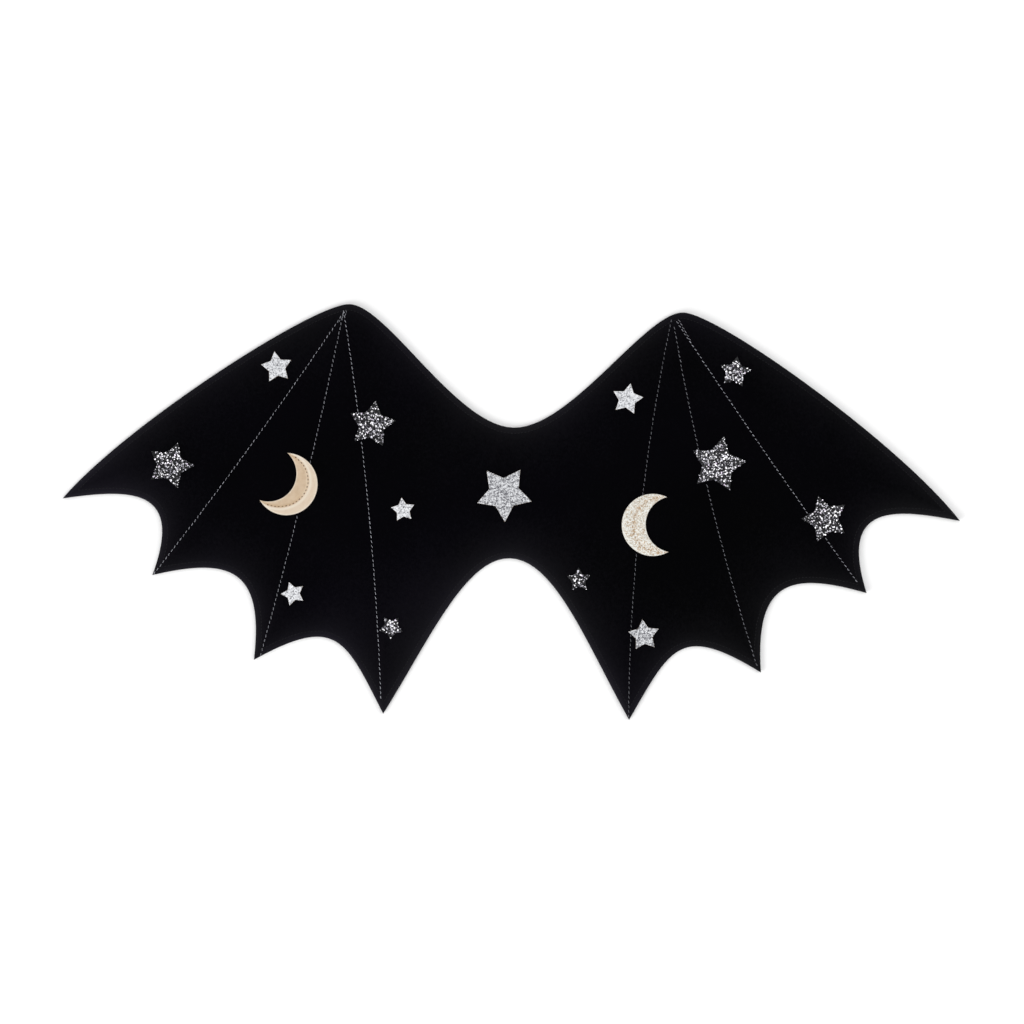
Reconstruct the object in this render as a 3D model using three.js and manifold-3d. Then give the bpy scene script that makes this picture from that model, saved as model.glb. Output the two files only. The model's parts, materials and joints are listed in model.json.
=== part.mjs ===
// Bat wings for a costume: two thinly padded velvet panels sewn together round the edge, with star and
// moon appliques on the front and two elastic arm straps on the back.
// Millimetres, +Z up. The wings lie on their back: X runs across the span, Y from the waist up to the
// neck, and Z = 0 is the surface under the back panel.
import * as THREE from 'three';
import { mergeVertices } from 'three/addons/utils/BufferGeometryUtils.js';
import Module from 'manifold-3d';

const wasm = await Module();
wasm.setup();

// Sizes of the wings, from tip to tip and from the wing peaks to the lowest tips
const SPAN = 760;
const HEIGHT = 346;

// Thickness of each padded panel where it is full, and where a stitch line pulls it down
const FRONT_THICKNESS = 2.8;
const FRONT_STITCHED = 1.6;
const BACK_THICKNESS = 2.5;
const BACK_STITCHED = 1.6;

// How far from a stitch line the padding takes to swell to its full thickness
const FRONT_SWELL = 18;
const BACK_SWELL = 8;

// Distance of the topstitching from the edge, and of the first full ring of padding inside it
const TOPSTITCH_INSET = 5;
const FIELD_INSET = 9;

// Air left between pieces that touch
const CLEARANCE = 0.3;

// Cut shapes that are sewn on the front: star radii to the outer points, and the crescent moons
const APPLIQUE_THICKNESS = 1;
const APPLIQUE_BEVEL = 0.25;
const STAR_RADIUS = { tiny: 10.4, small: 13.5, medium: 20.4, large: 24.2 };
const STAR_NOTCH = 0.54;
const MOON_CHORD = 46.2;
const MOON_BELLY = 39;
const MOON_HOLLOW = 18.7;

// Elastic arm straps on the back, sewn down at both ends
const STRAP_WIDTH = 20;
const STRAP_LENGTH = 130;
const STRAP_THICKNESS = 1.1;
const STRAP_SPACING = 116;
const STRAP_MIDDLE = 9;
const STRAP_BEVEL = 0.2;

// Right half of the outline from the middle of the neck edge, clockwise to the middle of the waist edge.
// Each row is one cubic curve: where it starts, its handle there, and its handle at the next row's start.
// x is a share of half the span and y of half the height.
const OUTLINE = [
  { edge: 'neck', x: 0, y: 0.416, leaveX: 0.127, leaveY: 0.416, arriveX: 0.288, arriveY: 1 },
  { edge: 'leading', x: 0.372, y: 1, leaveX: 0.451, leaveY: 1, arriveX: 0.867, arriveY: 0.376 },
  { edge: 'outer', x: 1, y: 0.014, leaveX: 0.845, leaveY: 0.072, arriveX: 0.729, arriveY: 0.081 },
  { edge: 'middle', x: 0.796, y: -0.35, leaveX: 0.626, leaveY: -0.254, arriveX: 0.546, arriveY: -0.295 },
  { edge: 'inner', x: 0.565, y: -0.752, leaveX: 0.381, leaveY: -0.517, arriveX: 0.363, arriveY: -0.639 },
  { edge: 'waist', x: 0.274, y: -1, leaveX: 0.176, leaveY: -0.636, arriveX: 0.099, arriveY: -0.224 },
];
const WAIST_MIDDLE = { x: 0, y: -0.224 };

// Ribs: the stitch lines from each peak to the tip where the named edge starts. The bow towards the
// body is a share of the rib's length.
const RIBS = [
  { tip: 'middle', bow: 0.012 },
  { tip: 'inner', bow: 0.013 },
  { tip: 'waist', bow: 0.018 },
];

// Rounded edge of a panel, from the seam inwards: inset as a share of the topstitch's, and rise as a
// share of the full thickness
const RIM = [
  { inset: 0, rise: 0 },
  { inset: 0.06, rise: 0.36 },
  { inset: 0.22, rise: 0.58 },
  { inset: 0.6, rise: 0.66 },
];

// Appliques: centre as shares of half the span and half the height, turn in degrees anticlockwise from
// a point that looks up. A moon's centre is the middle of its chord, and it turns its belly from +X.
const APPLIQUES = [
  { name: 'left_silver_star_upper', cut: 'star', cloth: 'silver', size: 'small', x: -0.53, y: 0.682, turn: 10 },
  { name: 'left_flake_star_outer', cut: 'star', cloth: 'flake', size: 'medium', x: -0.761, y: 0.189, turn: -17 },
  { name: 'left_flake_star_inner', cut: 'star', cloth: 'flake', size: 'medium', x: -0.315, y: 0.415, turn: -8 },
  { name: 'left_silver_star_inner', cut: 'star', cloth: 'silver', size: 'tiny', x: -0.241, y: 0, turn: 8 },
  { name: 'left_silver_star_lower', cut: 'star', cloth: 'silver', size: 'tiny', x: -0.481, y: -0.423, turn: 21 },
  { name: 'left_flake_star_lower', cut: 'star', cloth: 'flake', size: 'tiny', x: -0.261, y: -0.576, turn: 180 },
  { name: 'centre_star', cut: 'star', cloth: 'silver', size: 'large', x: -0.017, y: 0.093, turn: 183 },
  { name: 'right_silver_star_upper', cut: 'star', cloth: 'silver', size: 'small', x: 0.252, y: 0.569, turn: -10 },
  { name: 'right_flake_star_upper', cut: 'star', cloth: 'flake', size: 'small', x: 0.49, y: 0.714, turn: -7 },
  { name: 'right_flake_star_large', cut: 'star', cloth: 'flake', size: 'large', x: 0.457, y: 0.261, turn: -10 },
  { name: 'right_flake_star_outer', cut: 'star', cloth: 'flake', size: 'medium', x: 0.699, y: 0.008, turn: 19 },
  { name: 'right_flake_star_lower', cut: 'star', cloth: 'flake', size: 'tiny', x: 0.154, y: -0.32, turn: 3 },
  { name: 'right_silver_star_lower', cut: 'star', cloth: 'silver', size: 'small', x: 0.302, y: -0.583, turn: 7 },
  { name: 'leather_moon', cut: 'moon', cloth: 'leather', size: 'moon', x: -0.531, y: 0.147, turn: -29 },
  { name: 'glitter_moon', cut: 'moon', cloth: 'champagne', size: 'moon', x: 0.349, y: -0.039, turn: 183 },
];

// Colours and finishes
const FINISHES = {
  velvet: { color: '#0d0d15', roughness: 0.95, metalness: 0 },
  lining: { color: '#0f0f16', roughness: 0.95, metalness: 0 },
  silver: { color: '#d4d6df', roughness: 0.45, metalness: 0.6 },
  flake: { color: '#8d8f99', roughness: 0.35, metalness: 0.7 },
  leather: { color: '#e3cba8', roughness: 0.42, metalness: 0.35 },
  champagne: { color: '#e6dbc6', roughness: 0.5, metalness: 0.4 },
  elastic: { color: '#17171b', roughness: 0.85, metalness: 0 },
};

// How many cells the mesh has along a scallop, along a rib, and along half of the neck and waist
const SCALLOP_CELLS = 10;
const RIB_CELLS = 14;
const BODY_CELLS = 10;
const MOON_STEPS = 20;
const PATH_STEPS = 60;
const HALVINGS = 30;

// Shares from 0 to 1 that crowd towards both ends, or towards the start alone
function crowdedAtEnds(count) {
  return Array.from({ length: count + 1 }, (_, i) => (1 - Math.cos((Math.PI * i) / count)) / 2);
}

function crowdedAtStart(count) {
  return Array.from({ length: count + 1 }, (_, i) => 1 - Math.cos((Math.PI / 2) * (i / count)));
}

const SCALLOP_SHARES = crowdedAtEnds(SCALLOP_CELLS);
const RIB_SHARES = crowdedAtEnds(RIB_CELLS);
const FROM_PEAK = crowdedAtStart(BODY_CELLS);
const TO_PEAK = FROM_PEAK.map((share) => 1 - share).reverse();
const EDGE_SHARES = {
  neck: TO_PEAK,
  leading: RIB_SHARES,
  outer: SCALLOP_SHARES,
  middle: SCALLOP_SHARES,
  inner: SCALLOP_SHARES,
  waist: FROM_PEAK,
};

// Turns a pair of shares into a point on the wings
function place(x, y) {
  return new THREE.Vector2((x * SPAN) / 2, (y * HEIGHT) / 2);
}

// The outline's curves, in order, and the place of each edge's first point in a ring of points
const EDGES = OUTLINE.map((row, index) => {
  const next = OUTLINE[index + 1] ?? WAIST_MIDDLE;
  const curve = new THREE.CubicBezierCurve(
    place(row.x, row.y),
    place(row.leaveX, row.leaveY),
    place(row.arriveX, row.arriveY),
    place(next.x, next.y),
  );
  return { name: row.edge, curve, shares: EDGE_SHARES[row.edge] };
});
const HALF_RING = EDGES.reduce((count, edge) => count + edge.shares.length - 1, 0);
const RING = 2 * HALF_RING;

function ringStart(name) {
  const before = EDGES.slice(0, EDGES.findIndex((edge) => edge.name === name));
  return before.reduce((count, edge) => count + edge.shares.length - 1, 0);
}

function distanceToPath(point, path) {
  let nearest = Infinity;
  for (let i = 1; i < path.length; i += 1) {
    const along = path[i].clone().sub(path[i - 1]);
    const offset = point.clone().sub(path[i - 1]);
    const share = THREE.MathUtils.clamp(offset.dot(along) / along.lengthSq(), 0, 1);
    nearest = Math.min(nearest, offset.addScaledVector(along, -share).length());
  }
  return nearest;
}

// A point that lies inside the outline by the inset, square to the edge
function insetPoint(curve, share, inset) {
  const along = curve.getTangentAt(share);
  const point = curve.getPointAt(share);
  return new THREE.Vector2(point.x + along.y * inset, point.y - along.x * inset);
}

// How far from a sharp tip an edge's inset line meets the inset line of the edge beyond the tip,
// as a share of the edge's length
function tipTrim(curve, neighbour, inset, tipShare) {
  const beyond = neighbour.getSpacedPoints(PATH_STEPS);
  let near = tipShare;
  let far = 0.5;
  for (let i = 0; i < HALVINGS; i += 1) {
    const middle = (near + far) / 2;
    const reached = distanceToPath(insetPoint(curve, middle, inset), beyond) < inset;
    near = reached ? middle : near;
    far = reached ? far : middle;
  }
  return near;
}

// One ring of points at an inset from the whole outline. The tips are sharp, the peaks and the middles
// of the neck and waist are smooth.
function insetRing(inset) {
  const right = [];
  EDGES.forEach(({ name, curve, shares }, index) => {
    const startsAtTip = index > 1;
    const endsAtTip = index > 0 && name !== 'waist';
    const start = startsAtTip ? tipTrim(curve, EDGES[index - 1].curve, inset, 0) : 0;
    const stop = endsAtTip ? tipTrim(curve, EDGES[index + 1].curve, inset, 1) : 1;
    shares.slice(0, -1).forEach((share) => {
      right.push(insetPoint(curve, THREE.MathUtils.lerp(start, stop, share), inset));
    });
  });
  right.push(insetPoint(EDGES[EDGES.length - 1].curve, 1, inset));
  const left = right.slice(1, -1).reverse().map((point) => new THREE.Vector2(-point.x, point.y));
  return [...right, ...left];
}

// The ring's index of a point's mirror image on the other wing
function mirrored(index) {
  return (RING - index) % RING;
}

// A rib's points from the hub at the peak to its tip, bowed towards the body
function ribPoints(hub, tip, bow) {
  const middle = hub.clone().add(tip).multiplyScalar(0.5);
  const rise = tip.clone().sub(hub);
  const towardsBody = -Math.sign(hub.x);
  middle.x += 2 * bow * Math.abs(rise.y) * towardsBody;
  middle.y += 2 * bow * Math.abs(rise.x) * -1;
  const curve = new THREE.QuadraticBezierCurve(hub, middle, tip);
  return RIB_SHARES.map((share) => curve.getPoint(share));
}

const PEAK = ringStart('leading');
const TIPS = RIBS.map((rib) => ringStart(rib.tip));

// All the stitch lines: the topstitching round the edge and the three ribs of each wing
function stitchLines() {
  const top = insetRing(TOPSTITCH_INSET);
  const field = insetRing(FIELD_INSET);
  const lines = [[...top, top[0]]];
  RIBS.forEach(({ bow }, index) => {
    [(i) => i, mirrored].forEach((side) => {
      const hub = side(PEAK);
      const tip = side(TIPS[index]);
      lines.push([top[hub], ...ribPoints(field[hub], field[tip], bow), top[tip]]);
    });
  });
  return lines;
}

const STITCH_LINES = stitchLines();

// Thickness of the padding at a point inside the topstitching
function padding(point, full, stitched, swell) {
  const distance = Math.min(...STITCH_LINES.map((line) => distanceToPath(point, line)));
  const pull = 1 - Math.min(distance / swell, 1);
  return full - (full - stitched) * pull * pull;
}

// One padded panel. Its flat inner face lies at innerZ, and its outer face swells towards +Z or -Z.
function panelGeometry({ full, stitched, swell, innerZ, outward }) {
  const points = [];
  const rises = [];
  const triangles = [];

  function addPoint(point, rise) {
    points.push(point);
    rises.push(rise);
    return points.length - 1;
  }

  // A face with its corners clockwise or anticlockwise as seen from +Z, turned to look outwards. Corners
  // that fall together at a hub are left out.
  function addFace(corners, clockwise, facing) {
    const distinct = [...new Set(corners)];
    const ordered = clockwise === facing > 0 ? distinct.reverse() : distinct;
    for (let i = 2; i < ordered.length; i += 1) {
      triangles.push(ordered[0], ordered[i - 1], ordered[i]);
    }
  }

  function addRing(inset, riseAt) {
    return insetRing(inset).map((point) => addPoint(point, riseAt(point)));
  }

  // Fills the field between two sides, from a head to a foot, following all four of them. A gore's head
  // is the hub, repeated.
  function addPatch(head, foot, sideA, sideB, across) {
    const at = (index) => points[index];
    const last = sideA.length - 1;
    const rows = RIB_SHARES.map((down, j) => across.map((share, i) => {
      if (i === 0) return sideA[j];
      if (i === across.length - 1) return sideB[j];
      if (j === 0) return head[i];
      if (j === last) return foot[i];
      const lengthwise = at(head[i]).clone().lerp(at(foot[i]), down);
      const crosswise = at(sideA[j]).clone().lerp(at(sideB[j]), share);
      const start = at(sideA[0]).clone().lerp(at(sideB[0]), share);
      const end = at(sideA[last]).clone().lerp(at(sideB[last]), share);
      const point = lengthwise.add(crosswise).sub(start.lerp(end, down));
      return addPoint(point, padding(point, full, stitched, swell));
    }));
    const fromAToB = at(sideB[last]).clone().sub(at(sideA[last]));
    const fromHeadToFoot = at(sideA[last]).clone().sub(at(sideA[0]));
    const clockwise = fromAToB.cross(fromHeadToFoot) < 0;
    for (let j = 0; j < last; j += 1) {
      for (let i = 1; i < across.length; i += 1) {
        const corners = [rows[j][i - 1], rows[j][i], rows[j + 1][i], rows[j + 1][i - 1]];
        addFace(corners, clockwise, outward);
      }
    }
  }

  // The rounded rim, the topstitching and the edge of the field
  const rings = RIM.map(({ inset, rise }) => addRing(inset * TOPSTITCH_INSET, () => rise * full));
  rings.push(addRing(TOPSTITCH_INSET, () => stitched));
  rings.push(addRing(FIELD_INSET, (point) => padding(point, full, stitched, swell)));
  for (let r = 1; r < rings.length; r += 1) {
    for (let i = 0; i < RING; i += 1) {
      const next = (i + 1) % RING;
      addFace([rings[r - 1][i], rings[r - 1][next], rings[r][next], rings[r][i]], true, outward);
    }
  }
  const field = rings[rings.length - 1];

  // The ribs and, between them, the gores of each wing
  const innermostRibs = [mirrored, (i) => i].map((side) => {
    const hub = field[side(PEAK)];
    const ribs = RIBS.map(({ bow }, index) => {
      const tip = field[side(TIPS[index])];
      const inside = ribPoints(points[hub], points[tip], bow).slice(1, -1);
      return [hub, ...inside.map((point) => addPoint(point, stitched)), tip];
    });
    const leading = RIB_SHARES.map((_, i) => field[side(PEAK + i)]);
    [leading, ...ribs.slice(0, -1)].forEach((sideA, index) => {
      const firstTip = TIPS[index] - SCALLOP_CELLS;
      const foot = SCALLOP_SHARES.map((_, i) => field[side(firstTip + i)]);
      const head = SCALLOP_SHARES.map(() => hub);
      addPatch(head, foot, sideA, ribs[index], SCALLOP_SHARES);
    });
    return ribs[ribs.length - 1];
  });

  // The body between the two innermost ribs
  const half = Array.from({ length: BODY_CELLS }, (_, i) => i);
  const neck = [...half.map((i) => mirrored(PEAK - i)), ...half.map((i) => i), PEAK];
  const waistTip = TIPS[TIPS.length - 1];
  const waist = [...half.map((i) => mirrored(waistTip + i)), ...half.map((i) => HALF_RING - i), waistTip];
  const across = [...FROM_PEAK.slice(0, -1).map((s) => s / 2), ...TO_PEAK.map((s) => (1 + s) / 2)];
  addPatch(neck.map((i) => field[i]), waist.map((i) => field[i]), ...innermostRibs, across);

  // The flat inner face
  const seam = rings[0].map((index) => points[index]);
  THREE.ShapeUtils.triangulateShape(seam, []).forEach((corners) => {
    const [a, b, c] = corners.map((i) => seam[i]);
    const clockwise = b.clone().sub(a).cross(c.clone().sub(a)) < 0;
    addFace(corners.map((i) => rings[0][i]), clockwise, -outward);
  });

  const positions = points.flatMap((point, i) => [point.x, point.y, innerZ + outward * rises[i]]);
  const geometry = new THREE.BufferGeometry();
  geometry.setAttribute('position', new THREE.Float32BufferAttribute(positions, 3));
  geometry.setIndex(triangles);
  return geometry;
}

function toSolid(geometry) {
  const bare = geometry.clone();
  bare.deleteAttribute('normal');
  bare.deleteAttribute('uv');
  const closed = mergeVertices(bare);
  return new wasm.Manifold(new wasm.Mesh({
    numProp: 3,
    vertProperties: new Float32Array(closed.getAttribute('position').array),
    triVerts: new Uint32Array(closed.getIndex().array),
  }));
}

function toGeometry(solid) {
  const { vertProperties, triVerts } = solid.getMesh();
  const geometry = new THREE.BufferGeometry();
  geometry.setAttribute('position', new THREE.BufferAttribute(vertProperties, 3));
  geometry.setIndex(new THREE.BufferAttribute(triVerts, 1));
  return geometry;
}

function starShape(radius) {
  const shape = new THREE.Shape();
  for (let i = 0; i < 10; i += 1) {
    const reach = i % 2 === 0 ? radius : radius * STAR_NOTCH;
    const angle = Math.PI / 2 + (i * Math.PI) / 5;
    const step = i === 0 ? 'moveTo' : 'lineTo';
    shape[step](reach * Math.cos(angle), reach * Math.sin(angle));
  }
  return shape;
}

// A crescent between two arcs that share a chord on the Y axis, with its belly towards +X
function moonShape() {
  const arc = (sagitta) => {
    const radius = (MOON_CHORD ** 2 / 4 + sagitta ** 2) / (2 * sagitta);
    const centre = sagitta - radius;
    return { radius, centre, horn: Math.atan2(MOON_CHORD / 2, -centre) };
  };
  const outer = arc(MOON_BELLY);
  const inner = arc(MOON_HOLLOW);
  const shape = new THREE.Shape();
  shape.absarc(outer.centre, 0, outer.radius, -outer.horn, outer.horn, false);
  shape.absarc(inner.centre, 0, inner.radius, inner.horn, -inner.horn, true);
  return shape;
}

// A flat cut shape with slightly rounded edges, from Z = 0 up to its thickness
function flatGeometry(shape, thickness, bevel, curveSegments) {
  const geometry = new THREE.ExtrudeGeometry(shape, {
    depth: thickness - 2 * bevel,
    curveSegments,
    bevelEnabled: true,
    bevelSegments: 1,
    bevelThickness: bevel,
    bevelSize: bevel,
    bevelOffset: -bevel,
  });
  return geometry.translate(0, 0, bevel);
}

function strapShape(width, length) {
  const shape = new THREE.Shape();
  shape.moveTo(-width / 2, -length / 2);
  shape.lineTo(width / 2, -length / 2);
  shape.lineTo(width / 2, length / 2);
  shape.lineTo(-width / 2, length / 2);
  shape.closePath();
  return shape;
}

// Where the two straps lie, by the wearer's side of the drawing
const STRAPS = [
  { name: 'left_arm_strap', x: -STRAP_SPACING / 2 },
  { name: 'right_arm_strap', x: STRAP_SPACING / 2 },
];

// The back panel lies flat on the surface, and its padding gives way to the straps under it
function backPanelGeometry() {
  let panel = toSolid(panelGeometry({
    full: BACK_THICKNESS,
    stitched: BACK_STITCHED,
    swell: BACK_SWELL,
    innerZ: BACK_THICKNESS,
    outward: -1,
  }));
  const width = STRAP_WIDTH + 2 * CLEARANCE;
  const length = STRAP_LENGTH + 2 * CLEARANCE;
  const depth = STRAP_THICKNESS + CLEARANCE;
  STRAPS.forEach(({ x }) => {
    const hollow = new THREE.BoxGeometry(width, length, 2 * depth);
    panel = panel.subtract(toSolid(hollow.translate(x, STRAP_MIDDLE, 0)));
  });
  return toGeometry(panel);
}

const group = new THREE.Group();

function addPiece(name, geometry, finish) {
  const mesh = new THREE.Mesh(geometry, new THREE.MeshStandardMaterial(FINISHES[finish]));
  mesh.name = name;
  group.add(mesh);
  return mesh;
}

addPiece('back_panel', backPanelGeometry(), 'lining');

const FRONT_INNER = BACK_THICKNESS + CLEARANCE;
addPiece('front_panel', panelGeometry({
  full: FRONT_THICKNESS,
  stitched: FRONT_STITCHED,
  swell: FRONT_SWELL,
  innerZ: FRONT_INNER,
  outward: 1,
}), 'velvet');

STRAPS.forEach(({ name, x }) => {
  const band = flatGeometry(strapShape(STRAP_WIDTH, STRAP_LENGTH), STRAP_THICKNESS, STRAP_BEVEL, 1);
  addPiece(name, band, 'elastic').position.set(x, STRAP_MIDDLE, 0);
});

// The appliques lie on the fullest part of the padding, just clear of it
const APPLIQUE_SEAT = FRONT_INNER + FRONT_THICKNESS + CLEARANCE;
APPLIQUES.forEach(({ name, cut, cloth, size, x, y, turn }) => {
  const shape = cut === 'moon' ? moonShape() : starShape(STAR_RADIUS[size]);
  const geometry = flatGeometry(shape, APPLIQUE_THICKNESS, APPLIQUE_BEVEL, MOON_STEPS);
  const piece = addPiece(name, geometry, cloth);
  const centre = place(x, y);
  piece.position.set(centre.x, centre.y, APPLIQUE_SEAT);
  piece.rotation.z = THREE.MathUtils.degToRad(turn);
});

export default group;
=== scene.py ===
"""Costume bat wings in black velvet, with stitched ribs, glitter stars, two crescent moons and arm straps.

The wings lie on their back on a pale floor. Lengths are in metres, with millimetres written as * MM.
"""

import json
import math
import random
from bisect import bisect_left

import bmesh
import bpy
from bpy.props import FloatProperty, FloatVectorProperty, IntProperty, PointerProperty
from mathutils import Matrix, Vector, noise
from mathutils.bvhtree import BVHTree
from mathutils.geometry import interpolate_bezier
from mathutils.kdtree import KDTree

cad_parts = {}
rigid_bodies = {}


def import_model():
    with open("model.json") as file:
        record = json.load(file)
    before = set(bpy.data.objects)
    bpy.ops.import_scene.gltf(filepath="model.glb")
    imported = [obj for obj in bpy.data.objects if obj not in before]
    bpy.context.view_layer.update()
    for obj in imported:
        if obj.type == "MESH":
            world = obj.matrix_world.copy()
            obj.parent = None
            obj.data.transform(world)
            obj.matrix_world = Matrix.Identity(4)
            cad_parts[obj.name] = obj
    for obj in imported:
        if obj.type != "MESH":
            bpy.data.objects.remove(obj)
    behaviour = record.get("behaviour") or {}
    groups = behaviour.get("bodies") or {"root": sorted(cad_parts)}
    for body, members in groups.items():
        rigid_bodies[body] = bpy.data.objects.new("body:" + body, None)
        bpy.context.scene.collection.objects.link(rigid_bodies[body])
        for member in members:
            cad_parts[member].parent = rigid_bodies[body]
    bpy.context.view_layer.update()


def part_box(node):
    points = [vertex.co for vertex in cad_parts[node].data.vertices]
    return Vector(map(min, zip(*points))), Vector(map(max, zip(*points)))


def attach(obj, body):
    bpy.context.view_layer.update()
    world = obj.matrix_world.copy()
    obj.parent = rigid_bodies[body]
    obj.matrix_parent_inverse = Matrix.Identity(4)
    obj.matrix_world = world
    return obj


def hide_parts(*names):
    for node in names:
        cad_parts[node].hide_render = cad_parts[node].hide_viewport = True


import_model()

bl_info = {
    "name": "Bat Wings",
    "version": (1, 0, 0),
    "blender": (4, 5, 0),
    "location": "View3D > Sidebar > Bat Wings",
    "description": "Velvet costume wings with stitched ribs, glitter stars and crescent moons",
    "category": "Add Mesh",
}

MM = 0.001
BODY = "root"

# Sizes that come from the frame
FRONT_LOW, FRONT_HIGH = (Vector(corner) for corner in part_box("front_panel"))
BACK_LOW, BACK_HIGH = (Vector(corner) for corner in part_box("back_panel"))
HALF_SPAN = (FRONT_HIGH.x - FRONT_LOW.x) / 2
HALF_HEIGHT = (FRONT_HIGH.y - FRONT_LOW.y) / 2
FRONT_FULL = FRONT_HIGH.z - FRONT_LOW.z
BACK_FULL = BACK_HIGH.z - BACK_LOW.z

# Right half of the outline, clockwise from the middle of the neck edge: where each cubic curve starts,
# its handle there, and its handle at the next start. x is a share of half the span, y of half the height.
OUTLINE = (
    {"edge": "neck", "start": (0, 0.416), "leave": (0.127, 0.416), "arrive": (0.288, 1)},
    {"edge": "leading", "start": (0.372, 1), "leave": (0.451, 1), "arrive": (0.867, 0.376)},
    {"edge": "outer", "start": (1, 0.014), "leave": (0.845, 0.072), "arrive": (0.729, 0.081)},
    {"edge": "middle", "start": (0.796, -0.35), "leave": (0.626, -0.254), "arrive": (0.546, -0.295)},
    {"edge": "inner", "start": (0.565, -0.752), "leave": (0.381, -0.517), "arrive": (0.363, -0.639)},
    {"edge": "waist", "start": (0.274, -1), "leave": (0.176, -0.636), "arrive": (0.099, -0.224)},
)
WAIST_MIDDLE = (0, -0.224)

# The sewn rib lines, from near a peak to just inside a tip, as shares of half the span and half the height.
# bow is the bend towards the body as a share of the length, doubled the length that is sewn twice, shine
# how much light is painted on the thread, less on the ribs that lie across the light
RIBS = (
    {"wing": "left", "hub": (-0.383, 0.963), "end": (-0.794, -0.348), "bow": 0.0095, "doubled": 0.012,
     "shine": 0.86},
    {"wing": "left", "hub": (-0.385, 0.959), "end": (-0.5535, -0.757), "bow": 0.009, "doubled": 0,
     "shine": 0.6},
    {"wing": "left", "hub": (-0.385, 0.972), "end": (-0.28, -0.93), "bow": 0.0156, "doubled": 0.006,
     "shine": 0.88},
    {"wing": "right", "hub": (0.356, 0.96), "end": (0.7755, -0.302), "bow": 0.006, "doubled": 0.026,
     "shine": 0.86},
    {"wing": "right", "hub": (0.352, 0.933), "end": (0.556, -0.723), "bow": 0.017, "doubled": 0,
     "shine": 0.3},
    {"wing": "right", "hub": (0.346, 0.968), "end": (0.2725, -0.992), "bow": 0.025, "doubled": 0,
     "shine": 0.18},
)
# Tips that the mesh's own ribs run to, by the edge that starts there
MESH_RIBS = ({"tip": "middle", "bow": 0.012}, {"tip": "inner", "bow": 0.013}, {"tip": "waist", "bow": 0.018})

# Cloth stars: turn in degrees anticlockwise from a point that looks up. Shade is how white fine glitter is,
# and how large the flakes of chunky glitter are.
STARS = (
    {"node": "left_silver_star_upper", "cloth": "silver", "turn": 10, "shade": 1, "tack": "dot"},
    {"node": "left_flake_star_outer", "cloth": "flake", "turn": -17, "shade": 1, "tack": "none"},
    {"node": "left_flake_star_inner", "cloth": "flake", "turn": -8, "shade": 1, "tack": "none"},
    {"node": "left_silver_star_inner", "cloth": "silver", "turn": 8, "shade": 1, "tack": "dot"},
    {"node": "left_silver_star_lower", "cloth": "silver", "turn": 21, "shade": 1, "tack": "dot"},
    {"node": "left_flake_star_lower", "cloth": "flake", "turn": 180, "shade": 1.1, "tack": "none"},
    {"node": "centre_star", "cloth": "silver", "turn": 183, "shade": 0.5, "tack": "line"},
    {"node": "right_silver_star_upper", "cloth": "silver", "turn": -10, "shade": 1, "tack": "dot"},
    {"node": "right_flake_star_upper", "cloth": "flake", "turn": -7, "shade": 1.15, "tack": "ring"},
    {"node": "right_flake_star_large", "cloth": "flake", "turn": -10, "shade": 1.05, "tack": "none"},
    {"node": "right_flake_star_outer", "cloth": "flake", "turn": 19, "shade": 1, "tack": "none"},
    {"node": "right_flake_star_lower", "cloth": "flake", "turn": 3, "shade": 1.2, "tack": "none"},
    {"node": "right_silver_star_lower", "cloth": "silver", "turn": 7, "shade": 0.5, "tack": "dot"},
)
STAR_NOTCH = 0.54
# How far the flakes' tones spread down from white: the tones paint glints and dark reflections, and chunkier
# glitter has fewer black flakes
CHUNKY_TONES = 0.86
FINE_TONES = 1.04
# Flakes of like tone lie in clumps of this width, apart from a random share
CLUMP = 1.6 * MM
CLUMP_CHANCE = 0.3
# A flake's smallest size and width as shares, how much smaller it is at a tip, its lift in millimetres and
# its steepest lean in degrees
FLAKE_SMALLEST = 0.5
FLAKE_NARROWEST = 0.4
FLAKE_TAPER = 0.4
FLAKE_LIFT = (0.02, 0.3)
FLAKE_LEAN = 28
# Least share of a kite that a flake keeps from the middle of the star
FLAKE_MARGIN = 0.02
# Between a patch and the cloth under it
PATCH_GAP = 0.3 * MM
# From the middle of a star to its tack
TACKS_AT = {"dot": Vector((0.2, 2)) * MM, "ring": Vector((-1.2, -2.2)) * MM}

# The crescents: the middle of the chord as shares of half the span and half the height, and the turn of
# the belly from +X
MOONS = (
    {"node": "leather_moon", "finish": "leather", "middle": (-0.531, 0.147), "turn": -29},
    {"node": "glitter_moon", "finish": "champagne", "middle": (0.349, -0.039), "turn": 183},
)
MOON_CHORD = 46.2 * MM
MOON_BELLY = 39 * MM
MOON_HOLLOW = 18.7 * MM
# The painted highlight on the fold beyond a moon's sewn line: its distance from the line and its width
MOON_HIGHLIGHT_AT = 2 * MM
MOON_HIGHLIGHT_WIDTH = 1.1 * MM
# How high a moon puffs up between its sewn line and its cut edge, and how far from each it is full
MOON_PUFF = 0.55 * MM
PUFF_FROM_LINE = 4 * MM
PUFF_FROM_RIM = 3 * MM
# Reach of the pale cut edge, and the band over which the inside of the line turns into the outside
MOON_RIM = 0.8 * MM
MOON_TURN = 3 * MM

# Insets of the rows of faces round the rim; the last is where the ribs and gores begin
RIM_INSETS = tuple(inset * MM for inset in (0, 0.15, 0.5, 1.1, 1.9, 2.8, 3.7, 4.4, 5, 5.6, 6.4, 7.5, 9))
RIM_ROUNDING = 2.2 * MM
SCALLOP_CELLS = 52
RIB_CELLS = 56
BODY_CELLS = 40
EDGE_STEPS = 80
HALVINGS = 22
CROWDING = 0.5

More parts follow.
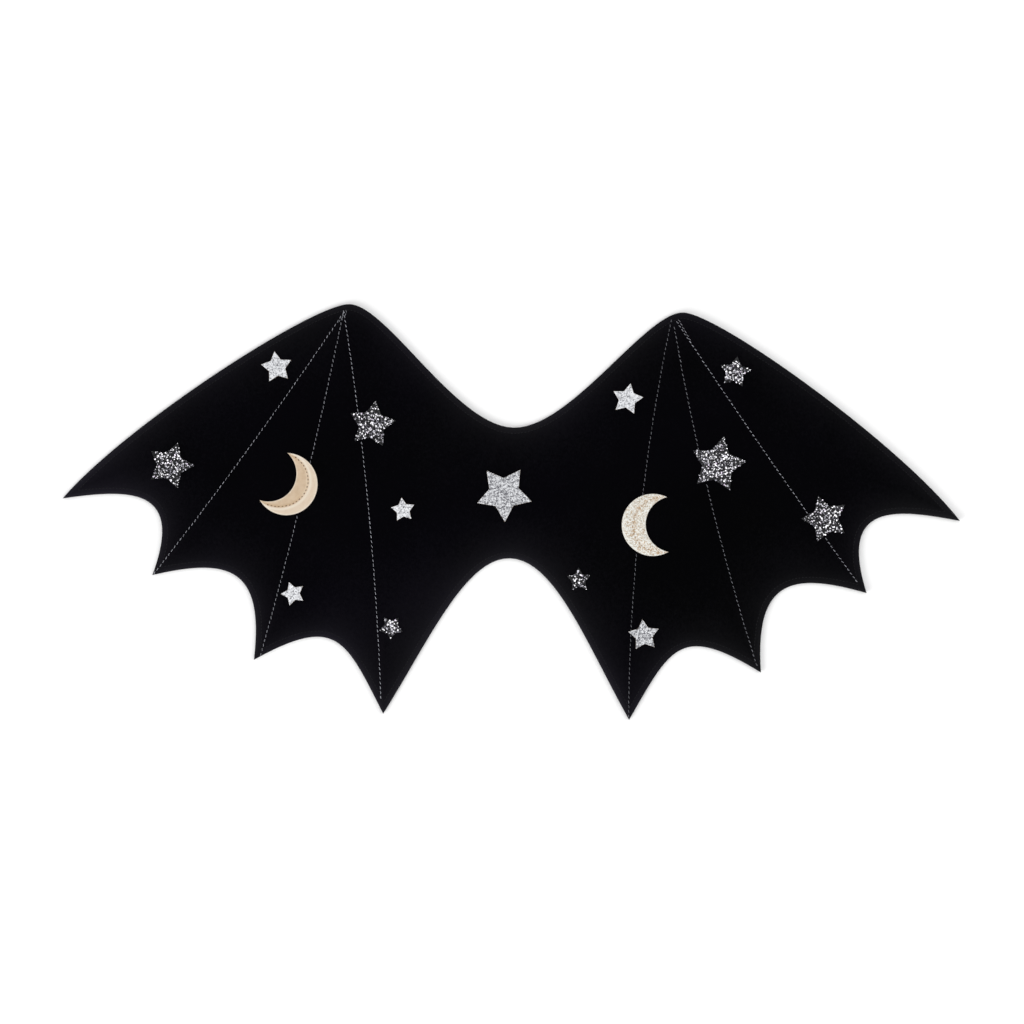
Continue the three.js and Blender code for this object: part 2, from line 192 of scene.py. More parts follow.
# Painted sheen: how the pile catches the light near the edge, painted into its colour: two reaches, the soft
# ridge of painted highlight and the dip of painted shade on either side of the topstitching, the half width
# of the body, and the side that the light comes from
PILE_NEAR = 3.2 * MM
PILE_WIDE = 19 * MM
PILE_RIDGE = 4.4 * MM
PILE_DIP = 5.9 * MM
PILE_BODY = 130 * MM
LIT_SIDE = Vector((-0.7, -0.7))
# Patches of painted sheen where the pile is brushed up, as shares of half the span and half the height
BRUSHED_SHEEN = (
    {"at": (-0.22, -0.5), "reach": 56 * MM, "rise": 0.105},
    {"at": (-0.86, 0.09), "reach": 36 * MM, "rise": 0.06},
    {"at": (0.88, 0.03), "reach": 30 * MM, "rise": 0.04},
)

# How strongly sheen is painted on the pile near the seam, further in and on the ridge, and how much shade is
# painted in the dip
PILE_LIGHT = {"near": 0.52, "wide": 0.28, "ridge": 0.12, "dip": 0.03}
PILE_SEWN = 0.9 * MM
PILE_UNEVEN = 9 * MM

# The padding's broad hollows and its drag lines: their size, and their depth in millimetres
HOLLOW_WIDTH = 48 * MM
HOLLOW_DEPTH = 0.28
DRAG_LINES = 9
DRAG_LENGTH = 120 * MM
DRAG_DEPTH = 0.22

# Points this close to a sewn line are held down while the padding is filled
SEWN_WIDTH = 1.4 * MM
# How the velvet behaves while it is filled
CLOTH = {
    "quality": 6, "mass": 0.15, "tension_stiffness": 20, "compression_stiffness": 20,
    "bending_stiffness": 0.8, "use_pressure": True,
}
# Close spacing of points along a line, and the distance under which two points are one
CLOSE = 0.5 * MM
SAME_POINT = 0.01 * MM


class WingSizes(bpy.types.PropertyGroup):
    """Sizes of the sewing and of the padding."""

    topstitch_inset: FloatProperty(
        name="Topstitch inset", description="From the edge to the black topstitching",
        default=5 * MM, unit="LENGTH")
    front_stitched: FloatProperty(
        name="Front stitched", description="Front panel's thickness under a stitch line",
        default=1.6 * MM, unit="LENGTH")
    back_stitched: FloatProperty(
        name="Back stitched", description="Back panel's thickness under a stitch line",
        default=1.6 * MM, unit="LENGTH")
    front_swell: FloatProperty(
        name="Front swell", description="Distance that the front padding takes to swell beside a stitch line",
        default=18 * MM, unit="LENGTH")
    back_swell: FloatProperty(
        name="Back swell", description="Distance that the back padding takes to swell beside a stitch line",
        default=8 * MM, unit="LENGTH")
    rib_pitch: FloatProperty(
        name="Rib stitch pitch", description="From one silver stitch to the next",
        default=4 * MM, unit="LENGTH")
    topstitch_pitch: FloatProperty(
        name="Topstitch pitch", description="From one black stitch to the next",
        default=2.9 * MM, unit="LENGTH")
    silver_thread: FloatProperty(
        name="Silver thread", description="Width of the silver thread", default=0.5 * MM, unit="LENGTH")
    black_thread: FloatProperty(
        name="Black thread", description="Width of the black thread", default=0.5 * MM, unit="LENGTH")
    patch_thickness: FloatProperty(
        name="Patch thickness", description="Thickness of the glitter cloth and the leather",
        default=1 * MM, unit="LENGTH")
    flake_radius: FloatProperty(
        name="Flake radius", description="Radius of the largest glitter flake",
        default=1 * MM, unit="LENGTH")
    flake_spacing: FloatProperty(
        name="Flake spacing", description="Mean distance between glitter flakes",
        default=1.1 * MM, unit="LENGTH")
    padding_rise: FloatProperty(
        name="Padding rise", description="How far the padding may rise over its sewn shape",
        default=1.2 * MM, unit="LENGTH")
    padding_pressure: FloatProperty(
        name="Padding pressure", description="Pressure that fills the front padding", default=4)
    padding_frames: IntProperty(
        name="Padding frames", description="Frames that the padding takes to settle", default=20)
    seed: IntProperty(name="Seed", description="Seed of the scattered flakes and stitches", default=7)


class WingColours(bpy.types.PropertyGroup):
    """Colours of the cloths and threads."""

    velvet: FloatVectorProperty(
        name="Velvet", description="Deep colour of the pile", subtype="COLOR", size=4,
        default=(0.0009, 0.0009, 0.0012, 1))
    # Painted light: the deep pile is lighter and more purple towards the left, where the light comes from, in
    # patches
    velvet_lit_tint: FloatVectorProperty(
        name="Tinted velvet", description="Purple cast of the pile in patches", subtype="COLOR", size=4,
        default=(0.0013, 0.0011, 0.0022, 1))
    # Painted sheen: pile that turns over an edge or lies brushed up, coloured as if it catches the light
    velvet_sheen: FloatVectorProperty(
        name="Raised velvet", description="Pile that turns over an edge and catches the light",
        subtype="COLOR", size=4, default=(0.014, 0.0138, 0.0157, 1))
    # Painted sheen, more purple where the painted light from the left falls
    velvet_sheen_tint: FloatVectorProperty(
        name="Raised tinted velvet", description="Purple cast of the pile that catches the light",
        subtype="COLOR", size=4, default=(0.0148, 0.0134, 0.0192, 1))
    silver: FloatVectorProperty(
        name="Silver glitter", description="Bright grains of the fine glitter cloth", subtype="COLOR",
        size=4, default=(0.73, 0.74, 0.765, 1))
    silver_dark: FloatVectorProperty(
        name="Dark silver grains", description="Dark grains of the fine glitter cloth", subtype="COLOR",
        size=4, default=(0.08, 0.08, 0.095, 1))
    # The gold leather's own colour, where no shade is painted
    leather: FloatVectorProperty(
        name="Gold leather", description="Light side of the gold leather", subtype="COLOR", size=4,
        default=(0.9, 0.74, 0.57, 1))
    # Painted shade: the leather inside its sewn line and along it, where it lies in shade
    leather_shaded: FloatVectorProperty(
        name="Creased leather", description="Creased side of the gold leather", subtype="COLOR", size=4,
        default=(0.71, 0.515, 0.325, 1))
    champagne: FloatVectorProperty(
        name="Champagne glitter", description="Pale grains of the moon's glitter", subtype="COLOR", size=4,
        default=(0.74, 0.74, 0.695, 1))
    champagne_dark: FloatVectorProperty(
        name="Brown glitter", description="Brown grains of the moon's glitter", subtype="COLOR", size=4,
        default=(0.42, 0.27, 0.14, 1))
    champagne_grey: FloatVectorProperty(
        name="Grey glitter", description="Grey grains of the moon's glitter", subtype="COLOR", size=4,
        default=(0.27, 0.27, 0.22, 1))
    thread: FloatVectorProperty(
        name="Silver thread", description="Lurex thread of the ribs", subtype="COLOR", size=4,
        default=(0.56, 0.57, 0.63, 1))
    elastic: FloatVectorProperty(
        name="Elastic", description="Woven elastic of the arm straps", subtype="COLOR", size=4,
        default=(0.012, 0.012, 0.014, 1))
    floor: FloatVectorProperty(
        name="Floor", description="Plain pale floor", subtype="COLOR", size=4, default=(0.94, 0.94, 0.94, 1))


def sizes():
    return bpy.context.scene.bat_wing_sizes


def colours():
    return bpy.context.scene.bat_wing_colours


# Shader wiring

class Wire:
    """A socket of a material's nodes, which plain arithmetic can be written with."""

    def __init__(self, tree, socket=None):
        self.tree = tree
        self.socket = socket

    def node(self, kind, settings=None, inputs=None, output=0):
        """Adds a node of any type: its settings come first, then the values or wires of its sockets."""
        made = self.tree.nodes.new("ShaderNode" + kind)
        for key, value in (settings or {}).items():
            if key == "stops":
                set_stops(made.color_ramp, value)
            else:
                setattr(made, key, value)
        for key, value in (inputs or {}).items():
            if isinstance(value, Wire):
                self.tree.links.new(value.socket, made.inputs[key])
            else:
                made.inputs[key].default_value = value
        return Wire(self.tree, made.outputs[output])

    def maths(self, operation, *values):
        return self.node("Math", {"operation": operation}, dict(enumerate(values)))

    def __add__(self, other):
        return self.maths("ADD", self, other)

    def __sub__(self, other):
        return self.maths("SUBTRACT", self, other)

    def __mul__(self, other):
        return self.maths("MULTIPLY", self, other)


def set_stops(ramp, stops):
    """Gives a ramp its stops, each a position and a colour."""
    while len(ramp.elements) < len(stops):
        ramp.elements.new(1)
    for element, (position, colour) in zip(ramp.elements, stops):
        element.position = position
        element.color = colour


def new_finish(name, **constants):
    """A material, the start of its wires, and its shader, with constants set on the shader's sockets."""
    material = bpy.data.materials.new(name)
    material.use_nodes = True
    shader = material.node_tree.nodes["Principled BSDF"]
    for key, value in constants.items():
        shader.inputs[key.replace("_", " ")].default_value = value
    return material, Wire(material.node_tree), shader


def feed(shader, socket, wire):
    wire.tree.links.new(wire.socket, shader.inputs[socket])


def blend(factor, first, second):
    """Mixes two colours by a factor."""
    wire = next(value for value in (factor, first, second) if isinstance(value, Wire))
    return wire.node("Mix", {"data_type": "RGBA"}, {0: factor, 6: first, 7: second}, output=2)


def object_coords(start):
    return start.node("TexCoord", output="Object")


def kept_number(start, name):
    """A number that the mesh keeps on its vertices."""
    return start.node("Attribute", {"attribute_name": name}, output="Fac")


def clouds(coords, scale, detail, roughness, settings=None, **inputs):
    """Cloudy noise read at some coordinates."""
    inputs.update({"Vector": coords, "Scale": scale, "Detail": detail, "Roughness": roughness})
    return coords.node("TexNoise", settings, inputs)


def bands(coords, direction, scale, **inputs):
    """Straight bands across some coordinates."""
    inputs.update({"Vector": coords, "Scale": scale})
    return coords.node("TexWave", {"wave_type": "BANDS", "bands_direction": direction}, inputs)


def raise_surface(shader, height, strength, distance):
    bump = {"Strength": strength, "Distance": distance, "Height": height}
    feed(shader, "Normal", height.node("Bump", inputs=bump))


def tilted_normal(colour, amount):
    """The surface's normal, leaned at random by a cell's colour, so that each grain faces its own way."""
    geometry = colour.node("NewGeometry", output="Normal")
    lean = colour.node("VectorMath", {"operation": "SUBTRACT"}, {0: colour, 1: (0.5, 0.5, 0.5)})
    lean = colour.node("VectorMath", {"operation": "SCALE"}, {0: lean, "Scale": amount})
    summed = colour.node("VectorMath", {"operation": "ADD"}, {0: geometry, 1: lean})
    return colour.node("VectorMath", {"operation": "NORMALIZE"}, {0: summed})


# Finishes

def velvet_finish():
    """Black velvet: a deep pile with painted sheen where it turns over an edge and in brushed patches, and
    painted light in tinted patches, lighter and more purple to the left.
    """
    material, start, shader = new_finish(
        "black_velvet", Roughness=0.95, Specular_IOR_Level=0.015, Sheen_Weight=0.04,
        Sheen_Roughness=0.3, Sheen_Tint=(0.82, 0.82, 0.92, 1))
    coords = object_coords(start)
    across = start.node("SeparateXYZ", inputs={0: coords})
    lying = start.node("Mapping", inputs={"Vector": coords, "Scale": (1, 0.35, 1)})
    brushed = clouds(coords, 14, 5, 0.6)
    patches = clouds(coords, 9, 3, 0.5, {"noise_dimensions": "4D"}, W=4.2)
    mottle = clouds(coords, 420, 3, 0.6)
    pile = clouds(lying, 1800, 2, 0.6)
    # turned is the painted sheen that pile_light works out on each vertex
    turned = kept_number(start, "turned")
    # Painted sheen from the edges, the ridge and the brushed patches, with the pile's random mottle and
    # fibres
    raised = turned + brushed * 0.16 + mottle * 0.22 + pile * 0.26 - 0.335
    # Painted light from the left: lighter, more purple pile towards -X, in patches
    cast = patches * 2.2 - across - 0.7
    deep = blend(cast, colours().velvet, colours().velvet_lit_tint)
    high = blend(cast, colours().velvet_sheen, colours().velvet_sheen_tint)
    feed(shader, "Base Color", blend(raised, deep, high))
    raise_surface(shader, pile * 0.8 + mottle * 0.5, 0.6, 0.5 * MM)
    return material


def grains(start, scale):
    """Random colours of small cells, and one random number for each."""
    coords = object_coords(start)
    cells = start.node("TexVoronoi", {"feature": "F1"}, {"Vector": coords, "Scale": scale}, output="Color")
    return cells, start.node("SeparateColor", inputs={0: cells})


def silver_finish():
    """Fine silver glitter cloth: bright grains with dark ones among them, fewer on the whiter stars, partly
    the grains' own colour and partly painted glints.
    """
    material, start, shader = new_finish("silver_glitter_cloth", Metallic=0.3, Roughness=0.42)
    _, coarse = grains(start, 980)
    cells, fine = grains(start, 2700)
    shade = kept_number(start, "tone")
    # Bright and dark grains: partly the glitter's own colour, partly painted glints
    light = coarse * 1.2 + fine * 0.7 + shade * 0.65 - 0.78
    feed(shader, "Base Color", blend(light, colours().silver_dark, colours().silver))
    feed(shader, "Normal", tilted_normal(cells, 0.7))
    return material


def flake_finish():
    """Chunky glitter: each flake gets a tone from black through steel to bright silver, a painted glint or
    painted dark reflection.
    """
    material, start, shader = new_finish("flake_glitter_cloth", Metallic=0.55, Roughness=0.3)
    tone = kept_number(start, "tone")
    # Painted glints and dark reflections of each flake, set by its tone
    steel = start.node("ValToRGB", {"stops": (
        (0.0, (0.002, 0.002, 0.003, 1)),
        (0.47, (0.003, 0.003, 0.005, 1)),
        (0.5, (0.07, 0.068, 0.083, 1)),
        (0.6, (0.16, 0.155, 0.18, 1)),
        (0.66, (0.4, 0.39, 0.44, 1)),
        (0.75, (0.6, 0.59, 0.65, 1)),
        (0.81, (0.95, 0.94, 0.98, 1)),
        (0.97, (0.98, 0.97, 1, 1)),
        (1.0, (0.6, 0.48, 0.66, 1)))}, {"Fac": tone})
    feed(shader, "Base Color", steel)
    cells, _ = grains(start, 900)
    feed(shader, "Normal", tilted_normal(cells, 0.25))
    return material


def moon_marks(start, *names):
    """The moons' marks: how far inside the sewn line, how near it, the painted highlight beyond it and the
    cut edge.
    """
    return [kept_number(start, name) for name in names]


def leather_finish():
    """Pale gold leather, creased, with painted shade inside the stitch line and along it, a painted highlight
    beyond the line, and paler at its cut edge.
    """
    material, start, shader = new_finish(
        "creased_gold_leather", Metallic=0.12, Roughness=0.4, Coat_Weight=0.1, Coat_Roughness=0.35)
    coords = object_coords(start)
    grain = start.node("TexVoronoi", {"feature": "DISTANCE_TO_EDGE"}, {"Vector": coords, "Scale": 1100})
    creases = clouds(coords, 210, 5, 0.65, Distortion=0.8)
    inner, seam, crest, rim = moon_marks(start, "inner", "seam", "crest", "rim")
    # Painted shade inside the sewn line and along it, with random creases, less at the cut edge and under the
    # painted highlight
    painted_shade_and_mottle = inner * 0.65 + seam * 0.6 + creases * 1.3 - rim * 0.6 - crest * 0.4 - 0.6
    # Painted highlight beyond the sewn line, and the pale cut edge
    lit = blend(rim + crest * 0.8, colours().leather, (1, 0.9, 0.76, 1))
    feed(shader, "Base Color", blend(painted_shade_and_mottle, lit, colours().leather_shaded))
    raise_surface(shader, grain * 40 + creases, 0.5, 0.6 * MM)
    return material


def champagne_finish():
    """Champagne glitter cloth with brown grains, more of them along the sewn line."""
    material, start, shader = new_finish("champagne_glitter_cloth", Metallic=0.25, Roughness=0.42)
    _, coarse = grains(start, 1150)
    cells, fine = grains(start, 2600)
    inner, seam, rim = moon_marks(start, "inner", "seam", "rim")
    light = coarse * 1.3 + fine * 0.6 + rim * 0.35 - seam * 0.22 - inner * 0.06 - 0.16
    sorted_grains = cells.node("SeparateColor", inputs={0: cells}, output=1) * 3 - 1.6 - seam
    dark = blend(sorted_grains, colours().champagne_dark, colours().champagne_grey)
    feed(shader, "Base Color", blend(light, dark, colours().champagne))
    feed(shader, "Normal", tilted_normal(cells, 0.7))
    return material


def thread_finish(name, colour, dark_share, metallic, roughness):
    """Twisted thread: two plies wound round each other, read from the stitch's own map."""
    material, start, shader = new_finish(name, Metallic=metallic, Roughness=roughness, Specular_IOR_Level=0.2)
    around = start.node("UVMap", {"uv_map": "UVMap"})
    plies = bands(around, "DIAGONAL", 3.2, Distortion=0.4, Detail=1)
    tone = kept_number(start, "tone")
    dark = tuple(channel * dark_share for channel in colour[:3]) + (1,)
    # The tone paints light on the thread: each rib's shine, and a random tone on every stitch
    feed(shader, "Base Color", blend(plies * 0.45 + tone * 0.8 - 0.2, dark, tuple(colour)))
    raise_surface(shader, plies, 0.6, 0.15 * MM)
    return material


def elastic_finish():
    """Woven elastic: ribs along the strap, crossed by the weft."""
    material, start, shader = new_finish("woven_elastic", Roughness=0.8, Specular_IOR_Level=0.25)
    coords = object_coords(start)
    weave = bands(coords, "X", 160) * 0.7 + bands(coords, "Y", 420) * 0.3
    light = tuple(channel * 3.5 for channel in colours().elastic[:3]) + (1,)
    feed(shader, "Base Color", blend(weave, colours().elastic, light))
    raise_surface(shader, weave, 0.5, 0.4 * MM)
    return material


def backing_finish(name, dark, light):
    """Felt backing that shows on the cut edge of a patch."""
    material, start, shader = new_finish(name, Roughness=0.9)
    coords = object_coords(start)
    fibres = clouds(coords, 1800, 3, 0.7)
    feed(shader, "Base Color", blend(fibres, dark, light))
    raise_surface(shader, fibres, 0.4, 0.3 * MM)
    return material


def finish(name, make, *arguments):
    """A material by name, made the first time that it is asked for."""
    return bpy.data.materials.get(name) or make(*arguments)


def pale_backing():
    return finish("pale_backing", backing_finish, "pale_backing", (0.5, 0.38, 0.27, 1), (0.78, 0.65, 0.52, 1))


def dark_backing():
    dark, light = (0.01, 0.01, 0.012, 1), (0.05, 0.05, 0.06, 1)
    return finish("dark_backing", backing_finish, "dark_backing", dark, light)


# Outline of the wings

def place(shares):
    return Vector((shares[0] * HALF_SPAN, shares[1] * HALF_HEIGHT))


def crowded(count, at_end=True):
    """Shares from 0 to 1 that crowd towards the start, and towards the end too if asked."""
    turn = math.pi if at_end else math.pi / 2
    scale = 2 if at_end else 1
    curved = [(1 - math.cos(turn * i / count)) / scale for i in range(count + 1)]
    return [CROWDING * share + (1 - CROWDING) * i / count for i, share in enumerate(curved)]


SCALLOP_SHARES = crowded(SCALLOP_CELLS)
RIB_SHARES = crowded(RIB_CELLS)
FROM_PEAK = crowded(BODY_CELLS, at_end=False)
TO_PEAK = [1 - share for share in reversed(FROM_PEAK)]
EDGE_SHARES = {"neck": TO_PEAK, "leading": RIB_SHARES, "waist": FROM_PEAK}


class Edge:
    """One edge of the outline's right half, which is read at a share of its length."""

    def __init__(self, row, next_start):
        knots = [place(shares) for shares in (row["start"], row["leave"], row["arrive"], next_start)]
        self.name = row["edge"]
        self.shares = EDGE_SHARES.get(self.name, SCALLOP_SHARES)
        self.points = interpolate_bezier(*knots, EDGE_STEPS)
        self.reach = [0.0]
        for first, second in zip(self.points, self.points[1:]):
            self.reach.append(self.reach[-1] + (second - first).length)

    def at(self, share, inset=0.0):
        """The point at a share of the length, moved inwards square to the edge."""
        target = share * self.reach[-1]
        i = min(max(bisect_left(self.reach, target), 1), len(self.points) - 1)
        along = self.points[i] - self.points[i - 1]
        point = self.points[i - 1] + along * ((target - self.reach[i - 1]) / along.length)
        return point + Vector((along.y, -along.x)).normalized() * inset


STARTS = [row["start"] for row in OUTLINE[1:]] + [WAIST_MIDDLE]
EDGES = [Edge(row, next_start) for row, next_start in zip(OUTLINE, STARTS)]
HALF_RING = sum(len(edge.shares) - 1 for edge in EDGES)
RING = 2 * HALF_RING


def ring_start(name):
    """The place in a ring of points where an edge starts."""
    names = [edge.name for edge in EDGES]
    return sum(len(edge.shares) - 1 for edge in EDGES[:names.index(name)])


PEAK = ring_start("leading")
TIPS = [ring_start(rib["tip"]) for rib in MESH_RIBS]


def distance_to_path(point, path):
    nearest = math.inf
    for first, second in zip(path, path[1:]):
        along = second - first
        offset = point - first
        share = min(max(offset.dot(along) / along.length_squared, 0), 1)
        nearest = min(nearest, (offset - along * share).length)
    return nearest


def tip_trim(edge, neighbour, inset, tip_share):
    """The share of the edge where its inset line meets the neighbour's, beyond a sharp tip."""
    near, far = tip_share, 0.5
    for _ in range(HALVINGS):
        middle = (near + far) / 2
        if distance_to_path(edge.at(middle, inset), neighbour.points) < inset:
            near = middle
        else:
            far = middle
    return near


def inset_ring(inset):
    """Points round the whole outline, moved inwards, clockwise from the middle of the neck edge."""
    right = []
    for i, edge in enumerate(EDGES):
        starts_at_tip = i > 1
        ends_at_tip = 0 < i < len(EDGES) - 1
        start = tip_trim(edge, EDGES[i - 1], inset, 0) if inset and starts_at_tip else 0
        stop = tip_trim(edge, EDGES[i + 1], inset, 1) if inset and ends_at_tip else 1
        right += [edge.at(start + (stop - start) * share, inset) for share in edge.shares[:-1]]
    right.append(EDGES[-1].at(1, inset))
    left = [Vector((-point.x, point.y)) for point in reversed(right[1:-1])]
    return right + left


def mirrored(index):
    """The place in a ring of a point's mirror image on the other wing."""
    return -index % RING


def bowed(hub, tip, bow, shares):
    """Points from a hub to a tip, bowed towards the body."""
    rise = tip - hub
    square = Vector((-math.copysign(abs(rise.y), hub.x), -abs(rise.x)))
    middle = (hub + tip) / 2 + square * 2 * bow
    return [hub * (1 - s) ** 2 + middle * 2 * s * (1 - s) + tip * s ** 2 for s in shares]


def rib_path(rib, steps=200):
    """The sewn line of a rib."""
    shares = [i / steps for i in range(steps + 1)]
    return bowed(place(rib["hub"]), place(rib["end"]), rib["bow"], shares)


def evenly(path, pitch):
    """Points and directions along a path, in even spaces near the pitch, from half a space in."""
    length = sum((second - first).length for first, second in zip(path, path[1:]))
    spacing = length / max(1, round(length / pitch))
    placed = []
    target = spacing / 2
    reached = 0.0
    for first, second in zip(path, path[1:]):
        along = second - first
        while target <= reached + along.length:
            placed.append((first + along * ((target - reached) / along.length), along.normalized()))
            target += spacing
        reached += along.length
    return placed


def closest(points):
    """A tree that finds the nearest of some flat points."""
    tree = KDTree(len(points))
    for i, point in enumerate(points):
        tree.insert((point.x, point.y, 0), i)
    tree.balance()
    return tree


def distance_in(tree, point):
    return tree.find((point.x, point.y, 0))[2]


# Shapes

def mapped_grid(bm, columns, rows, point_at):
    """A grid of faces whose corners go where point_at(column, row) says."""
    made = bmesh.ops.create_grid(bm, x_segments=columns, y_segments=rows, size=1)
    for vert in made["verts"]:
        column = round((vert.co.x + 1) / 2 * columns)
        row = round((1 - vert.co.y) / 2 * rows)
        vert.co = point_at(column, row)


def between(head, foot, side_a, side_b, across, down):
    """A rule for points between four sides of a field, which follows all four."""
    def at(column, row):
        u, v = across[column], down[row]
        lengthwise = head[column].lerp(foot[column], v)
        crosswise = side_a[row].lerp(side_b[row], u)
        corners = side_a[0].lerp(side_b[0], u).lerp(side_a[-1].lerp(side_b[-1], u), v)
        return lengthwise + crosswise - corners
    return at


def panel_sheet(height_at):
    """The outer face of a panel as a bmesh: rim, gores and body, each point at height_at(point, inset)."""
    bm = bmesh.new()
    rings = [inset_ring(inset) for inset in RIM_INSETS]

    def on_rim(column, row):
        point = rings[row][column % RING]
        return (*point, height_at(point, RIM_INSETS[row]))

    def field_grid(rule, columns, rows):
        def on_field(column, row):
            point = rule(column, row)
            return (*point, height_at(point, RIM_INSETS[-1]))
        mapped_grid(bm, columns, rows, on_field)

    mapped_grid(bm, RING, len(RIM_INSETS) - 1, on_rim)
    field = rings[-1]
    inner_ribs = []
    for side in (mirrored, lambda index: index):
        hub = field[side(PEAK)]
        ribs = [bowed(hub, field[side(tip)], rib["bow"], RIB_SHARES) for tip, rib in zip(TIPS, MESH_RIBS)]
        leading = [field[side(PEAK + i)] for i in range(RIB_CELLS + 1)]
        for tip, side_a, side_b in zip(TIPS, [leading] + ribs, ribs):
            foot = [field[side(tip - SCALLOP_CELLS + i)] for i in range(SCALLOP_CELLS + 1)]
            rule = between([hub] * len(foot), foot, side_a, side_b, SCALLOP_SHARES, RIB_SHARES)
            field_grid(rule, SCALLOP_CELLS, RIB_CELLS)
        inner_ribs.append(ribs[-1])
    head = [field[i % RING] for i in range(-PEAK, PEAK + 1)]
    foot = [field[HALF_RING + i] for i in range(BODY_CELLS, -BODY_CELLS - 1, -1)]
    across = [s / 2 for s in FROM_PEAK[:-1]] + [(1 + s) / 2 for s in TO_PEAK]
    field_grid(between(head, foot, *inner_ribs, across, RIB_SHARES), 2 * BODY_CELLS, RIB_CELLS)
    bmesh.ops.remove_doubles(bm, verts=bm.verts, dist=SAME_POINT)
    return bm


def close_flat(bm, facing):
    """Closes a sheet's open edge with flat faces, and turns the whole shell outwards."""
    rim = [edge for edge in bm.edges if edge.is_boundary]
    bmesh.ops.triangle_fill(bm, edges=rim, use_beauty=True, normal=(0, 0, facing))
    bmesh.ops.recalc_face_normals(bm, faces=bm.faces)


def new_piece(name, bm, *materials):
    """An object with smooth faces from a bmesh, riding on the wings."""
    mesh = bpy.data.meshes.new(name)
    bm.to_mesh(mesh)
    bm.free()
    piece = bpy.data.objects.new(name, mesh)
    bpy.context.collection.objects.link(piece)
    for material in materials:
        mesh.materials.append(material)
    for polygon in mesh.polygons:
        polygon.use_smooth = True
    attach(piece, BODY)
    return piece


def pile_light(co):
    """How much painted sheen the pile gets at a point: most where it turns over the edge, more on the side
    that faces the light, to the left, in the middle of the body and at the tips, with a painted highlight on
    the ridge, painted shade in the dip, and brushed patches.
    """
    spot, _, distance = SEAM.find((co.x, co.y, 0))
    outward = Vector((spot.x - co.x, spot.y - co.y)) / max(distance, 0.3 * MM)
    near = math.exp(-distance / PILE_NEAR)
    wide = math.exp(-distance / PILE_WIDE)
    body = math.exp(-(co.x / PILE_BODY) ** 2) * (0.7 - 0.5 * co.y / HALF_HEIGHT)
    far = max(0, abs(co.x) / HALF_SPAN - 0.75)
    share = 1 + 0.12 * outward.dot(LIT_SIDE) - 0.12 * co.x / HALF_SPAN + 0.45 * body + far
    uneven = 0.5 + noise.noise(co / PILE_UNEVEN)
    ridge = max(0, 1 - abs(distance - PILE_RIDGE) / PILE_SEWN) * uneven
    dip = max(0, 1 - abs(distance - PILE_DIP) / PILE_SEWN)
    lit = PILE_LIGHT
    light = (lit["near"] * near + lit["wide"] * wide + lit["ridge"] * ridge - lit["dip"] * dip) * share
    for patch in BRUSHED_SHEEN:
        away = (Vector((co.x, co.y)) - place(patch["at"])).length / patch["reach"]
        light += patch["rise"] * math.exp(-away * away)
    return light


def mark(bm, name, value_at):
    """Keeps a number on each vertex, for a material to read."""
    layer = bm.verts.layers.float.new(name)
    for vert in bm.verts:
        vert[layer] = value_at(vert.co)


def stitch_template(length, width):
    """One stitch: a short thread that dips into the cloth at both ends."""
    bm = bmesh.new()
    bm.loops.layers.uv.new("UVMap")
    bm.verts.layers.float.new("tone")
    bmesh.ops.create_uvsphere(
        bm, u_segments=8, v_segments=8, radius=0.5, calc_uvs=True,
        matrix=Matrix.Rotation(math.pi / 2, 4, "Y"))
    for vert in bm.verts:
        share = 2 * vert.co.x
        fullness = (1 - share ** 4) ** 0.25 / max(math.sqrt(max(1 - share ** 2, 0)), 0.05)
        vert.co.y *= width * min(fullness, 3)
        vert.co.z = vert.co.z * 0.8 * width * min(fullness, 3) - 0.55 * width * share ** 2
        vert.co.x *= length
    mesh = bpy.data.meshes.new("stitch_template")
    bm.to_mesh(mesh)
    bm.free()
    return mesh


def scatter(template, placements, target=None):
    """Joins a copy of the template for each placement, which is a matrix and a tone."""
    bm = target or bmesh.new()
    if "tone" not in bm.verts.layers.float:
        bm.verts.layers.float.new("tone")
    for matrix, tone in placements:
        copy = template.copy()
        copy.transform(matrix)
        copy.attributes["tone"].data.foreach_set("value", [tone] * len(copy.vertices))
        bm.from_mesh(copy)
        bpy.data.meshes.remove(copy)
    return bm


# Relief of the panels

SEAM = closest([point for point, _ in evenly(inset_ring(0), CLOSE)])


def swelling(distance, full, stitched, swell):
    """The padding's thickness at a distance from the nearest stitch line."""
    pull = 1 - min(distance / swell, 1)
    return full - (full - stitched) * pull * pull


def rounding(inset):
    """How far a rim has risen to its full thickness at an inset from the seam."""
    short = 1 - min(inset / RIM_ROUNDING, 1)
    return math.sqrt(1 - short * short)


def stitch_points():
    """Flat points along every stitch line, close together."""
    ring = inset_ring(sizes().topstitch_inset)
    paths = [ring + ring[:1]] + [rib_path(rib) for rib in RIBS]
    return [point for path in paths for point, _ in evenly(path, CLOSE)]


def unevenness(point):
    """Slight hollows, and drag lines that fan out from the hubs."""
    broad = noise.noise(Vector((point.x, point.y, 0)) / HOLLOW_WIDTH)
    hub = place(RIBS[0]["hub"] if point.x < 0 else RIBS[-1]["hub"])
    arm = point - hub
    drag = noise.noise(Vector((DRAG_LINES * math.atan2(arm.x, -arm.y), arm.length / DRAG_LENGTH, 3)))
    return (HOLLOW_DEPTH * broad + DRAG_DEPTH * drag) * MM


